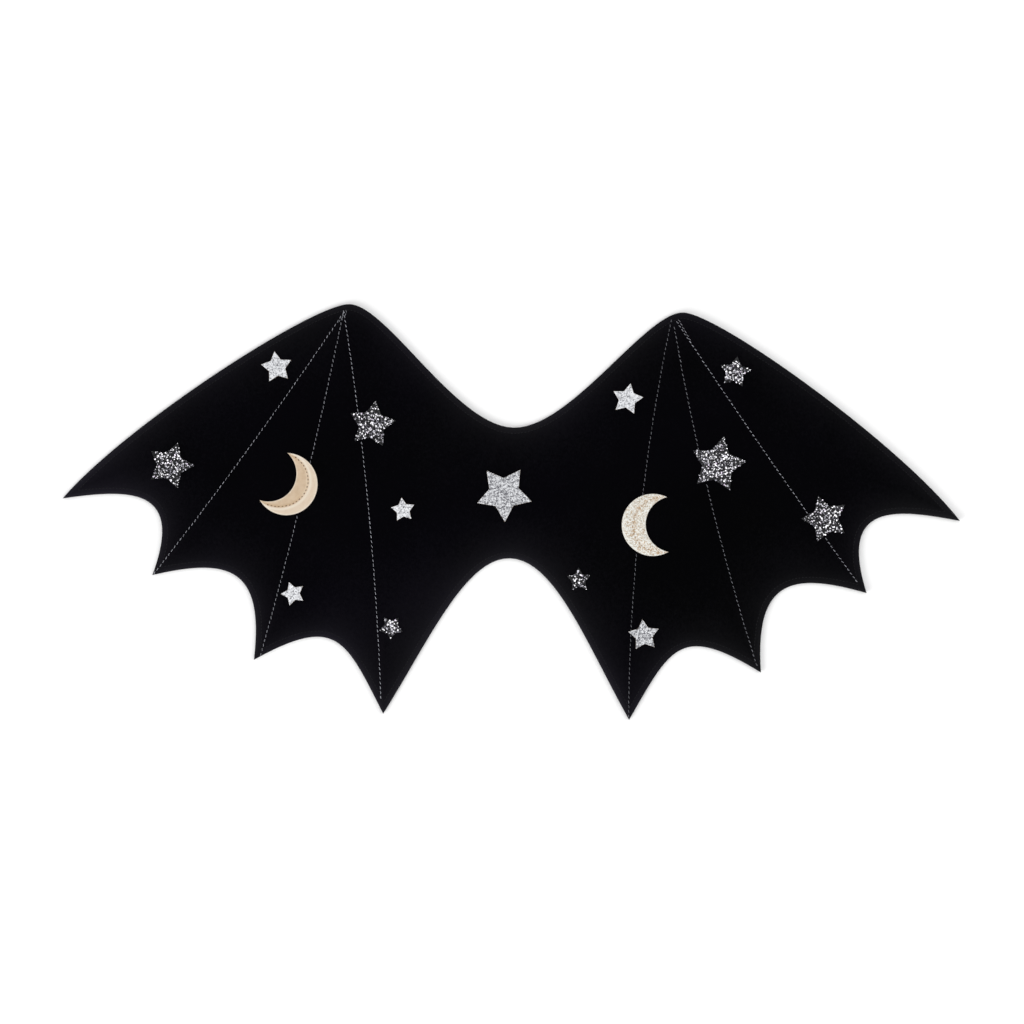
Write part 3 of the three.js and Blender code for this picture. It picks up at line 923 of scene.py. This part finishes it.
def blow_up(piece, is_sewn):
    """Fills the padding with Blender's Cloth, held where it is sewn, and applies what it gives."""
    group = sizes()
    mesh = piece.data
    rest = [vert.co.copy() for vert in mesh.vertices]
    sewn = piece.vertex_groups.new(name="sewn")
    sewn.add([vert.index for vert in mesh.vertices if is_sewn(vert)], 1, "ADD")
    cloth = piece.modifiers.new("padding", "CLOTH")
    for key, value in CLOTH.items():
        setattr(cloth.settings, key, value)
    cloth.settings.uniform_pressure_force = group.padding_pressure
    cloth.settings.effector_weights.gravity = 0
    cloth.settings.vertex_group_mass = sewn.name
    cloth.collision_settings.use_collision = False
    cloth.point_cache.frame_start = 1
    cloth.point_cache.frame_end = group.padding_frames
    scene = bpy.context.scene
    for frame_number in range(1, group.padding_frames + 1):
        scene.frame_set(frame_number)
    filled = piece.evaluated_get(bpy.context.evaluated_depsgraph_get()).data
    moves = [after.co - before for after, before in zip(filled.vertices, rest)]
    piece.modifiers.remove(cloth)
    piece.vertex_groups.remove(sewn)
    scene.frame_set(1)
    for vert, before, move in zip(mesh.vertices, rest, moves):
        reach = move.length / group.padding_rise
        vert.co = before + move * (math.tanh(reach) / reach if reach > 0 else 0)
    mesh.update()


class BATWINGS_OT_front_velvet(bpy.types.Operator):
    """Make the padded front panel of velvet"""

    bl_idname = "batwings.front_velvet"
    bl_label = "Front velvet"

    def execute(self, context):
        group = sizes()
        lines = closest(stitch_points())

        def height_at(point, inset):
            distance = distance_in(lines, point)
            full = swelling(distance, FRONT_FULL, group.front_stitched, group.front_swell)
            soft = unevenness(point) * min(distance / group.front_swell, 1)
            return FRONT_LOW.z + (full + soft) * rounding(inset)

        bm = panel_sheet(height_at)
        close_flat(bm, -1)
        # Painted sheen of the pile, kept on the vertices as turned
        mark(bm, "turned", pile_light)
        piece = new_piece("velvet_front", bm, finish("black_velvet", velvet_finish))

        def is_sewn(vert):
            near_line = distance_in(lines, vert.co) < SEWN_WIDTH
            return near_line or distance_in(SEAM, vert.co) < RIM_ROUNDING

        blow_up(piece, is_sewn)
        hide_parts("front_panel")
        return {"FINISHED"}


class BATWINGS_OT_back_velvet(bpy.types.Operator):
    """Make the padded back panel of velvet, flat where it rests"""

    bl_idname = "batwings.back_velvet"
    bl_label = "Back velvet"

    def execute(self, context):
        group = sizes()
        lines = closest(stitch_points())
        straps = [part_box(name) for name in ("left_arm_strap", "right_arm_strap")]

        def pressed(point):
            """How deep a strap presses into the padding at a point."""
            deepest = 0
            for low, high in straps:
                beyond = Vector([max(low[i] - point[i], point[i] - high[i], 0) for i in range(2)])
                share = 1 - min(beyond.length / (5 * MM), 1)
                deepest = max(deepest, (high[2] + 0.3 * MM) * share)
            return deepest

        def height_at(point, inset):
            full = swelling(distance_in(lines, point), BACK_FULL, group.back_stitched, group.back_swell)
            return BACK_HIGH.z - min(full, BACK_FULL - pressed(point)) * rounding(inset)

        bm = panel_sheet(height_at)
        close_flat(bm, 1)
        # Painted sheen of the pile, kept on the vertices as turned
        mark(bm, "turned", pile_light)
        piece = new_piece("velvet_back", bm, finish("black_velvet", velvet_finish))
        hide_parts("back_panel")
        return {"FINISHED"}


# Patches

# Steps round a point that a stiff patch evens the cloth over
STIFFNESS = [Vector((0, 0))] + [
    Vector((math.cos(turn), math.sin(turn))) * reach
    for reach, turns in ((2.5 * MM, 5), (5 * MM, 7))
    for turn in (math.tau * i / turns for i in range(turns))
]


class Ground:
    """Finished pieces, at first the front velvet, read from above."""

    def __init__(self, names=("velvet_front",)):
        graph = bpy.context.evaluated_depsgraph_get()
        self.trees = [BVHTree.FromObject(bpy.data.objects[name], graph) for name in names]

    def height(self, point):
        """The highest surface under a flat point, or None beside it."""
        hits = (tree.ray_cast(Vector((point.x, point.y, 1)), Vector((0, 0, -1)))[0] for tree in self.trees)
        heights = [hit.z for hit in hits if hit]
        return max(heights) if heights else None

    def soft_height(self, point):
        """The surface's height, evened out as a stiff patch lies on it."""
        heights = [self.height(Vector((point.x, point.y)) + step) for step in STIFFNESS]
        known = [height for height in heights if height is not None]
        return sum(known) / len(known)


def star_corners(node, turn):
    """The middle of a star and its ten corners, the first a point, anticlockwise."""
    low, high = (Vector(corner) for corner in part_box(node))
    start = math.radians(90 + turn)
    unit = [Vector((math.cos(a), math.sin(a))) for a in (start + math.pi / 5 * i for i in range(10))]
    flat = [v * (1 if i % 2 == 0 else STAR_NOTCH) for i, v in enumerate(unit)]
    spread = max(v.x for v in flat) - min(v.x for v in flat)
    radius = (high.x - low.x) / spread
    left = min(v.x for v in flat) * radius
    bottom = min(v.y for v in flat) * radius
    middle = Vector((low.x - left, low.y - bottom))
    return middle, [middle + v * radius for v in flat]


def star_kite(middle, corners, arm):
    """A rule for points of one arm of a star, between the middle, two notches and the tip."""
    tip = corners[2 * arm]
    before = corners[2 * arm - 1]
    after = corners[(2 * arm + 1) % 10]

    def at(u, v):
        return middle.lerp(before, u).lerp(after.lerp(tip, u), v)
    return at


def star_sheet(node, turn, cells=10):
    """A flat star of five kites as a bmesh."""
    middle, corners = star_corners(node, turn)
    bm = bmesh.new()
    for arm in range(5):
        kite = star_kite(middle, corners, arm)
        mapped_grid(bm, cells, cells, lambda c, r, kite=kite: (*kite(c / cells, r / cells), 0))
    bmesh.ops.remove_doubles(bm, verts=bm.verts, dist=SAME_POINT)
    return bm


def thicken(bm, thickness, bevel):
    """Gives a flat sheet its thickness upwards, with a cut side in the second material and a soft brow."""
    made = bmesh.ops.extrude_face_region(bm, geom=bm.faces[:], use_keep_orig=True)
    raised = [item for item in made["geom"] if isinstance(item, bmesh.types.BMVert)]
    bmesh.ops.translate(bm, verts=raised, vec=(0, 0, thickness))
    bmesh.ops.recalc_face_normals(bm, faces=bm.faces)
    top_rim = [
        edge for edge in bm.edges
        if all(vert.co.z > thickness / 2 for vert in edge.verts)
        and any(abs(face.normal.z) < 0.5 for face in edge.link_faces)
    ]
    bmesh.ops.bevel(bm, geom=top_rim, offset=bevel, segments=2, profile=0.5, affect="EDGES", material=-1)
    bm.normal_update()
    for face in bm.faces:
        face.material_index = 1 if abs(face.normal.z) < 0.8 else 0


def lay_on(bm, ground, gap):
    """Moves a flat shape up so that it follows the cloth under it."""
    for vert in bm.verts:
        vert.co.z += ground.soft_height(vert.co) + gap


def hexagon_template():
    """One flake of glitter, a thin hexagon."""
    bm = bmesh.new()
    bm.verts.layers.float.new("tone")
    bmesh.ops.create_cone(
        bm, cap_ends=True, segments=6, radius1=1, radius2=1, depth=0.16)
    mesh = bpy.data.meshes.new("flake_template")
    bm.to_mesh(mesh)
    bm.free()
    return mesh


def flake_placements(node, turn, coarse, ground, top, source):
    """The flakes of one star, scattered over its arms and leaning at random, with tones of painted glint and
    dark reflection in small clumps.
    """
    group = sizes()
    middle, corners = star_corners(node, turn)
    spread = CHUNKY_TONES if coarse > 1 else FINE_TONES
    laid = []
    for arm in range(5):
        kite = star_kite(middle, corners, arm)
        count = max(3, round((kite(1, 0) - kite(0, 0)).length / (group.flake_spacing * coarse)))
        for i in range(count):
            for j in range(count):
                u = min(max((i + 0.5 + source.uniform(-0.5, 0.5)) / count, FLAKE_MARGIN), 1)
                v = min(max((j + 0.5 + source.uniform(-0.5, 0.5)) / count, FLAKE_MARGIN), 1)
                point = kite(u, v)
                taper = 1 - FLAKE_TAPER * u * v
                radius = group.flake_radius * coarse * source.uniform(FLAKE_SMALLEST, 1) * taper
                narrow = radius * source.uniform(FLAKE_NARROWEST, 1)
                height = ground.soft_height(point) + top + source.uniform(*FLAKE_LIFT) * MM
                matrix = (
                    Matrix.Translation((point.x, point.y, height))
                    @ Matrix.Rotation(source.uniform(0, math.tau), 4, "Z")
                    @ Matrix.Rotation(math.radians(source.uniform(0, FLAKE_LEAN)), 4, "X")
                    @ Matrix.Rotation(source.uniform(0, math.tau), 4, "Z")
                    @ Matrix.Diagonal((radius, narrow, radius, 1)))
                clump = noise.noise(Vector((point.x, point.y, 0)) / CLUMP)
                laid.append((clump + source.uniform(-CLUMP_CHANCE, CLUMP_CHANCE), matrix))
    order = sorted(range(len(laid)), key=lambda index: laid[index][0])
    return [(laid[index][1], 1 - spread * (1 - (rank + 0.5) / len(laid))) for rank, index in enumerate(order)]


class BATWINGS_OT_stars(bpy.types.Operator):
    """Cut the glitter stars and lay them on the velvet"""

    bl_idname = "batwings.stars"
    bl_label = "Stars"

    def execute(self, context):
        group = sizes()
        source = random.Random(group.seed)
        ground = Ground()
        flake = hexagon_template()
        for star in STARS:
            node, turn, shade = star["node"], star["turn"], star["shade"]
            chunky = star["cloth"] == "flake"
            bm = star_sheet(node, turn)
            thickness = group.patch_thickness * (0.7 if chunky else 1)
            thicken(bm, thickness, 0.2 * MM)
            lay_on(bm, ground, PATCH_GAP)
            mark(bm, "tone", lambda co, tone=0 if chunky else shade: tone)
            if chunky:
                scatter(flake, flake_placements(node, turn, shade, ground, PATCH_GAP + thickness, source), bm)
                top, side = finish("flake_glitter_cloth", flake_finish), dark_backing()
            else:
                top, side = finish("silver_glitter_cloth", silver_finish), pale_backing()
            piece = new_piece("cloth_" + node, bm, top, side)
            for polygon in piece.data.polygons:
                polygon.use_smooth = not chunky
            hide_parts(node)
        bpy.data.meshes.remove(flake)
        return {"FINISHED"}


def moon_arc(sagitta, middle, turn, count):
    """Points from one horn to the other round an arc with that sagitta over the moon's chord."""
    radius = (MOON_CHORD ** 2 / 4 + sagitta ** 2) / (2 * sagitta)
    centre = sagitta - radius
    horn = math.atan2(MOON_CHORD / 2, -centre)
    turned = Matrix.Rotation(math.radians(turn), 2)
    points = []
    for i in range(count + 1):
        angle = -horn + 2 * horn * i / count
        points.append(middle + turned @ Vector((centre + radius * math.cos(angle), radius * math.sin(angle))))
    return points


def moon_seam(inner, outer):
    """The sewn line of a crescent, between its two arcs, nearest the belly past the middle."""
    last = len(inner) - 1
    shares = (0.37 + 0.19 * math.sin(math.pi * (i / last) ** 1.5) for i in range(last + 1))
    return [a.lerp(b, share) for a, b, share in zip(inner, outer, shares)]


class BATWINGS_OT_moons(bpy.types.Operator):
    """Cut the two crescents, sewn down along the middle"""

    bl_idname = "batwings.moons"
    bl_label = "Moons"

    def execute(self, context):
        group = sizes()
        ground = Ground()
        columns, rows = 64, 20
        tops = {
            "leather": {"slot": "gold_leather", "band": 1.3 * MM,
                        "finish": ("creased_gold_leather", leather_finish)},
            "champagne": {"slot": "champagne_glitter", "band": 2.6 * MM,
                          "finish": ("champagne_glitter_cloth", champagne_finish)},
        }
        for moon in MOONS:
            middle = place(moon["middle"])
            outer = moon_arc(MOON_BELLY, middle, moon["turn"], columns)
            inner = moon_arc(MOON_HOLLOW, middle, moon["turn"], columns)
            sewn = moon_seam(inner, outer)
            line = closest([point for point, _ in evenly(sewn, CLOSE)])
            rims = closest([point for path in (inner, outer) for point, _ in evenly(path, CLOSE)])
            inside = closest([point for point, _ in evenly(inner, CLOSE)])
            outside = closest([point for point, _ in evenly(outer, CLOSE)])
            bm = bmesh.new()
            mapped_grid(bm, columns, rows, lambda c, r: (*inner[c].lerp(outer[c], r / rows), 0))
            bmesh.ops.remove_doubles(bm, verts=bm.verts, dist=0.02 * MM)

            def inner_share(co, inside=inside, outside=outside):
                balance = distance_in(outside, co) - distance_in(inside, co)
                return min(max(0.5 + balance / MOON_TURN, 0), 1)

            # The inner side, where the leather's finish paints shade and the champagne's is a little darker
            mark(bm, "inner", inner_share)
            top = tops[moon["finish"]]

            def seam_share(co, line=line, band=top["band"]):
                return math.exp(-(distance_in(line, co) / band) ** 2)

            # Nearness to the sewn line, where the leather's finish paints shade and the champagne's puts more
            # brown grains
            mark(bm, "seam", seam_share)
            mark(bm, "rim", lambda co, rims=rims: math.exp(-distance_in(rims, co) / MOON_RIM))

            # Painted highlight a little beyond the sewn line, on its outer side
            def painted_highlight_share(co, line=line, inside=inside, outside=outside):
                beyond = distance_in(inside, co) > distance_in(outside, co)
                away = (distance_in(line, co) - MOON_HIGHLIGHT_AT) / MOON_HIGHLIGHT_WIDTH
                return math.exp(-away ** 2) if beyond else 0

            mark(bm, "crest", painted_highlight_share)
            thicken(bm, group.patch_thickness, 0.25 * MM)
            for vert in bm.verts:
                if vert.co.z > group.patch_thickness * 0.9:
                    from_line = min(distance_in(line, vert.co) / PUFF_FROM_LINE, 1)
                    from_rim = min(distance_in(rims, vert.co) / PUFF_FROM_RIM, 1)
                    vert.co.z += MOON_PUFF * (from_line * from_rim)
            lay_on(bm, ground, PATCH_GAP)
            piece = new_piece("cloth_" + moon["node"], bm, finish(*top["finish"]), pale_backing())
            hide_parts(moon["node"])
        return {"FINISHED"}


# Sewing

BLACK_THREAD = ("black_thread", (0.008, 0.008, 0.01, 1), 0.3, 0.0, 0.7)


def sew(name, path_points, template, ground, lift, material, source, slant=0.0):
    """Lays a stitch at each point, direction and shine of a path, on the surface of the ground; the shine is
    light painted into the thread's tone.
    """
    placements = []
    for point, along, shine in path_points:
        height = ground.height(point)
        if height is None:
            continue
        angle = math.atan2(along.y, along.x) + slant + source.gauss(0, 0.07)
        jitter = Vector((source.gauss(0, 0.08), source.gauss(0, 0.08))) * MM
        matrix = (
            Matrix.Translation((point.x + jitter.x, point.y + jitter.y, height + lift))
            @ Matrix.Rotation(angle, 4, "Z")
            @ Matrix.Diagonal((source.uniform(0.92, 1.06), source.uniform(0.85, 1.15), 1, 1)))
        placements.append((matrix, shine * source.uniform(0.65, 1)))
    piece = new_piece(name, scatter(template, placements), material)
    return piece


def sew_under(name, path_points, height, template, source):
    """Lays black stitches on the flat underside of the straps, at one height."""
    placements = []
    for point, along, shine in path_points:
        matrix = (
            Matrix.Translation((point.x, point.y, height))
            @ Matrix.Rotation(math.atan2(along.y, along.x) + source.gauss(0, 0.05), 4, "Z")
            @ Matrix.Diagonal((1, 1, -0.8, 1)))
        placements.append((matrix, shine * source.uniform(0.65, 1)))
    bm = scatter(template, placements)
    bmesh.ops.reverse_faces(bm, faces=bm.faces)
    new_piece(name, bm, finish("black_thread", thread_finish, *BLACK_THREAD))


class BATWINGS_OT_rib_stitching(bpy.types.Operator):
    """Sew the silver ribs from each peak to the tips, interrupted by the patches"""

    bl_idname = "batwings.rib_stitching"
    bl_label = "Rib stitching"

    def execute(self, context):
        group = sizes()
        source = random.Random(group.seed + 1)
        ground = Ground()
        patches = Ground([piece.name for piece in bpy.data.objects if piece.name.startswith("cloth_")])
        template = stitch_template(0.72 * group.rib_pitch, group.silver_thread)
        material = finish("silver_thread", thread_finish, "silver_thread", colours().thread, 0.12, 0.55, 0.4)
        for wing in ("left", "right"):
            stitches = []
            for rib in (row for row in RIBS if row["wing"] == wing):
                line = evenly(rib_path(rib), group.rib_pitch)
                # Each rib's shine is painted light on its stitches, and less on the row that is sewn twice
                stitches += [(*step, rib["shine"]) for step in line if patches.height(step[0]) is None]
                count = round(rib["doubled"] / group.rib_pitch)
                again = evenly(rib_path(rib), group.rib_pitch * 0.9)[:count]
                for i, (point, along) in enumerate(again):
                    beside = Vector((-along.y, along.x)) * (2.2 - 1.6 * i / count) * MM
                    stitches.append((point + beside, along, 0.6 * rib["shine"]))
            sew(wing + "_rib_stitches", stitches, template, ground, 0.1 * MM, material,
                source, slant=0.2)
        bpy.data.meshes.remove(template)
        return {"FINISHED"}


class BATWINGS_OT_topstitching(bpy.types.Operator):
    """Sew the black topstitching round the whole edge"""

    bl_idname = "batwings.topstitching"
    bl_label = "Topstitching"

    def execute(self, context):
        group = sizes()
        source = random.Random(group.seed + 2)
        template = stitch_template(0.7 * group.topstitch_pitch, group.black_thread)
        material = finish("black_thread", thread_finish, *BLACK_THREAD)
        ring = inset_ring(group.topstitch_inset)
        stitches = [(*step, 0.8) for step in evenly(ring + ring[:1], group.topstitch_pitch)]
        sew("topstitches", stitches, template, Ground(), 0.08 * MM, material, source, slant=0.08)
        bpy.data.meshes.remove(template)
        return {"FINISHED"}


class BATWINGS_OT_patch_stitching(bpy.types.Operator):
    """Sew the stars and moons down"""

    bl_idname = "batwings.patch_stitching"
    bl_label = "Patch stitching"

    def execute(self, context):
        group = sizes()
        source = random.Random(group.seed + 3)
        patches = Ground([piece.name for piece in bpy.data.objects if piece.name.startswith("cloth_")])
        brown = finish("brown_thread", thread_finish, "brown_thread", (0.27, 0.13, 0.06, 1), 0.5, 0.0, 0.7)
        tan = finish("tan_thread", thread_finish, "tan_thread", (0.5, 0.36, 0.24, 1), 0.6, 0.0, 0.7)
        grey = finish("grey_thread", thread_finish, "grey_thread", (0.06, 0.06, 0.07, 1), 0.4, 0.0, 0.6)
        black = finish("black_thread", thread_finish, *BLACK_THREAD)
        short = stitch_template(1.8 * MM, 0.8 * MM)
        tiny = stitch_template(1.6 * MM, 0.7 * MM)
        for moon in MOONS:
            middle = place(moon["middle"])
            outer = moon_arc(MOON_BELLY, middle, moon["turn"], 60)
            inner = moon_arc(MOON_HOLLOW, middle, moon["turn"], 60)
            line = moon_seam(inner, outer)[5:-5]
            stitches = [(*step, 0.5) for step in evenly(line, 3.2 * MM)]
            leather = moon["finish"] == "leather"
            thread = brown if leather else tan
            sew(moon["node"] + "_stitches", stitches, short, patches, 0.05 * MM, thread, source)
        dots, ring, lines = [], [], []
        for star in STARS:
            middle, corners = star_corners(star["node"], star["turn"])
            if star["tack"] == "dot":
                dots.append((middle + TACKS_AT["dot"], Vector((0.3, 1)).normalized(), 1))
            elif star["tack"] == "ring":
                for i in range(6):
                    angle = math.tau * i / 6
                    outwards = Vector((math.cos(angle), math.sin(angle)))
                    at = middle + TACKS_AT["ring"] + outwards * 1.4 * MM
                    ring.append((at, Vector((-outwards.y, outwards.x)), 0.2))
            elif star["tack"] == "line":
                top, bottom = corners[5], corners[0]
                lines += [(*step, 0.8) for step in evenly([top, top.lerp(bottom, 0.82)], 2.6 * MM)]
        sew("star_tacks", dots, tiny, patches, 0.1 * MM, grey, source)
        sew("ring_tack", ring, tiny, patches, 0.45 * MM, black, source)
        sew("centre_star_stitches", lines, tiny, patches, 0.02 * MM, grey, source)
        for template in (short, tiny):
            bpy.data.meshes.remove(template)
        return {"FINISHED"}


class BATWINGS_OT_arm_straps(bpy.types.Operator):
    """Make the flat elastic arm straps under the back, sewn down at both ends"""

    bl_idname = "batwings.arm_straps"
    bl_label = "Arm straps"

    def execute(self, context):
        group = sizes()
        source = random.Random(group.seed + 4)
        sewn_end, slope, pressed, margin = 17 * MM, 1.5 * MM, 0.3 * MM, 3 * MM
        template = stitch_template(0.7 * group.topstitch_pitch, group.black_thread)
        stitches = []
        for name in ("left_arm_strap", "right_arm_strap"):
            low, high = (Vector(corner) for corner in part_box(name))
            size, middle = high - low, (low + high) / 2
            bm = bmesh.new()
            bmesh.ops.create_cube(bm, size=1, matrix=Matrix.Translation(middle) @ Matrix.Diagonal((*size, 1)))
            bmesh.ops.bevel(bm, geom=bm.edges[:], offset=0.35 * MM, segments=3, profile=0.5,
                            affect="EDGES", material=-1)
            for end, inwards in ((low.y, 1), (high.y, -1)):
                for step in (sewn_end, sewn_end + slope):
                    bmesh.ops.bisect_plane(
                        bm, geom=bm.verts[:] + bm.edges[:] + bm.faces[:], dist=0.001 * MM,
                        plane_co=(0, end + inwards * step, 0), plane_no=(0, 1, 0))
            for vert in bm.verts:
                from_end = min(vert.co.y - low.y, high.y - vert.co.y)
                if from_end < sewn_end + slope / 2 and vert.co.z < middle.z:
                    vert.co.z += pressed
            piece = new_piece("woven_" + name, bm, finish("woven_elastic", elastic_finish))
            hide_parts(name)
            for foot in (low.y, high.y - sewn_end):
                box = [Vector((low.x + margin, foot + margin)), Vector((high.x - margin, foot + margin)),
                       Vector((high.x - margin, foot + sewn_end - margin)),
                       Vector((low.x + margin, foot + sewn_end - margin))]
                for path in (box + box[:1], box[::2], box[1::2]):
                    stitches += [(*step, 0.8) for step in evenly(path, group.topstitch_pitch)]
        sew_under("strap_stitches", stitches, low.z + pressed, template, source)
        bpy.data.meshes.remove(template)
        return {"FINISHED"}


class BATWINGS_OT_stage(bpy.types.Operator):
    """Set the pale floor, the soft lights and the camera above the wings"""

    bl_idname = "batwings.stage"
    bl_label = "Stage"

    def execute(self, context):
        scene = context.scene
        bm = bmesh.new()
        bmesh.ops.create_grid(bm, x_segments=1, y_segments=1, size=6)
        bmesh.ops.translate(bm, verts=bm.verts, vec=(0, 0, -0.05 * MM))
        mesh = bpy.data.meshes.new("floor")
        bm.to_mesh(mesh)
        bm.free()
        floor = bpy.data.objects.new("floor", mesh)
        scene.collection.objects.link(floor)
        material, _, shader = new_finish("pale_floor", Roughness=0.85, Specular_IOR_Level=0.2)
        shader.inputs["Base Color"].default_value = colours().floor
        mesh.materials.append(material)

        world = bpy.data.worlds.new("studio")
        world.use_nodes = True
        world.node_tree.nodes["Background"].inputs["Color"].default_value = (1, 1, 1, 1)
        world.node_tree.nodes["Background"].inputs["Strength"].default_value = 0.56
        scene.world = world
        lamps = (
            {"name": "overhead", "at": (0.25, 0.5, 2.4), "size": 2.2, "power": 20},
            {"name": "key", "at": (-1.5, -1.3, 1.3), "size": 1.4, "power": 26},
            {"name": "fill", "at": (1.6, 0.2, 1.5), "size": 1.4, "power": 8},
        )
        for lamp in lamps:
            light = bpy.data.lights.new(lamp["name"], "AREA")
            light.shape = "DISK"
            light.size = lamp["size"]
            light.energy = lamp["power"]
            holder = bpy.data.objects.new(lamp["name"], light)
            holder.location = lamp["at"]
            holder.rotation_euler = (-Vector(lamp["at"])).to_track_quat("-Z", "Y").to_euler()
            scene.collection.objects.link(holder)

        camera = bpy.data.cameras.new("camera")
        camera.lens = 150
        camera.sensor_width = 36
        seen_width = 866.4 * MM
        holder = bpy.data.objects.new("camera", camera)
        holder.location = (0.6 * MM, 0.5 * MM, 5 * MM + seen_width * camera.lens / camera.sensor_width)
        holder.rotation_euler = (0, 0, math.radians(1.4411))
        scene.collection.objects.link(holder)
        scene.camera = holder
        scene.view_settings.view_transform = "Standard"
        return {"FINISHED"}


class BATWINGS_PT_pieces(bpy.types.Panel):
    """Lists the pieces of the wings"""

    bl_label = "Bat Wings"
    bl_idname = "BATWINGS_PT_pieces"
    bl_space_type = "VIEW_3D"
    bl_region_type = "UI"
    bl_category = "Bat Wings"

    def draw(self, context):
        for operator in OPERATORS:
            self.layout.operator(operator.bl_idname)
        for group in (context.scene.bat_wing_sizes, context.scene.bat_wing_colours):
            for key in group.__annotations__:
                self.layout.prop(group, key)


OPERATORS = (
    BATWINGS_OT_stage,
    BATWINGS_OT_front_velvet,
    BATWINGS_OT_back_velvet,
    BATWINGS_OT_stars,
    BATWINGS_OT_moons,
    BATWINGS_OT_rib_stitching,
    BATWINGS_OT_topstitching,
    BATWINGS_OT_patch_stitching,
    BATWINGS_OT_arm_straps,
)
CLASSES = (WingSizes, WingColours, *OPERATORS, BATWINGS_PT_pieces)


def register():
    for item in CLASSES:
        bpy.utils.register_class(item)
    bpy.types.Scene.bat_wing_sizes = PointerProperty(type=WingSizes)
    bpy.types.Scene.bat_wing_colours = PointerProperty(type=WingColours)


def unregister():
    del bpy.types.Scene.bat_wing_sizes
    del bpy.types.Scene.bat_wing_colours
    for item in reversed(CLASSES):
        bpy.utils.unregister_class(item)


def main():
    register()
    for operator in OPERATORS:
        group, name = operator.bl_idname.split(".")
        getattr(getattr(bpy.ops, group), name)()


if __name__ == "__main__":
    main()
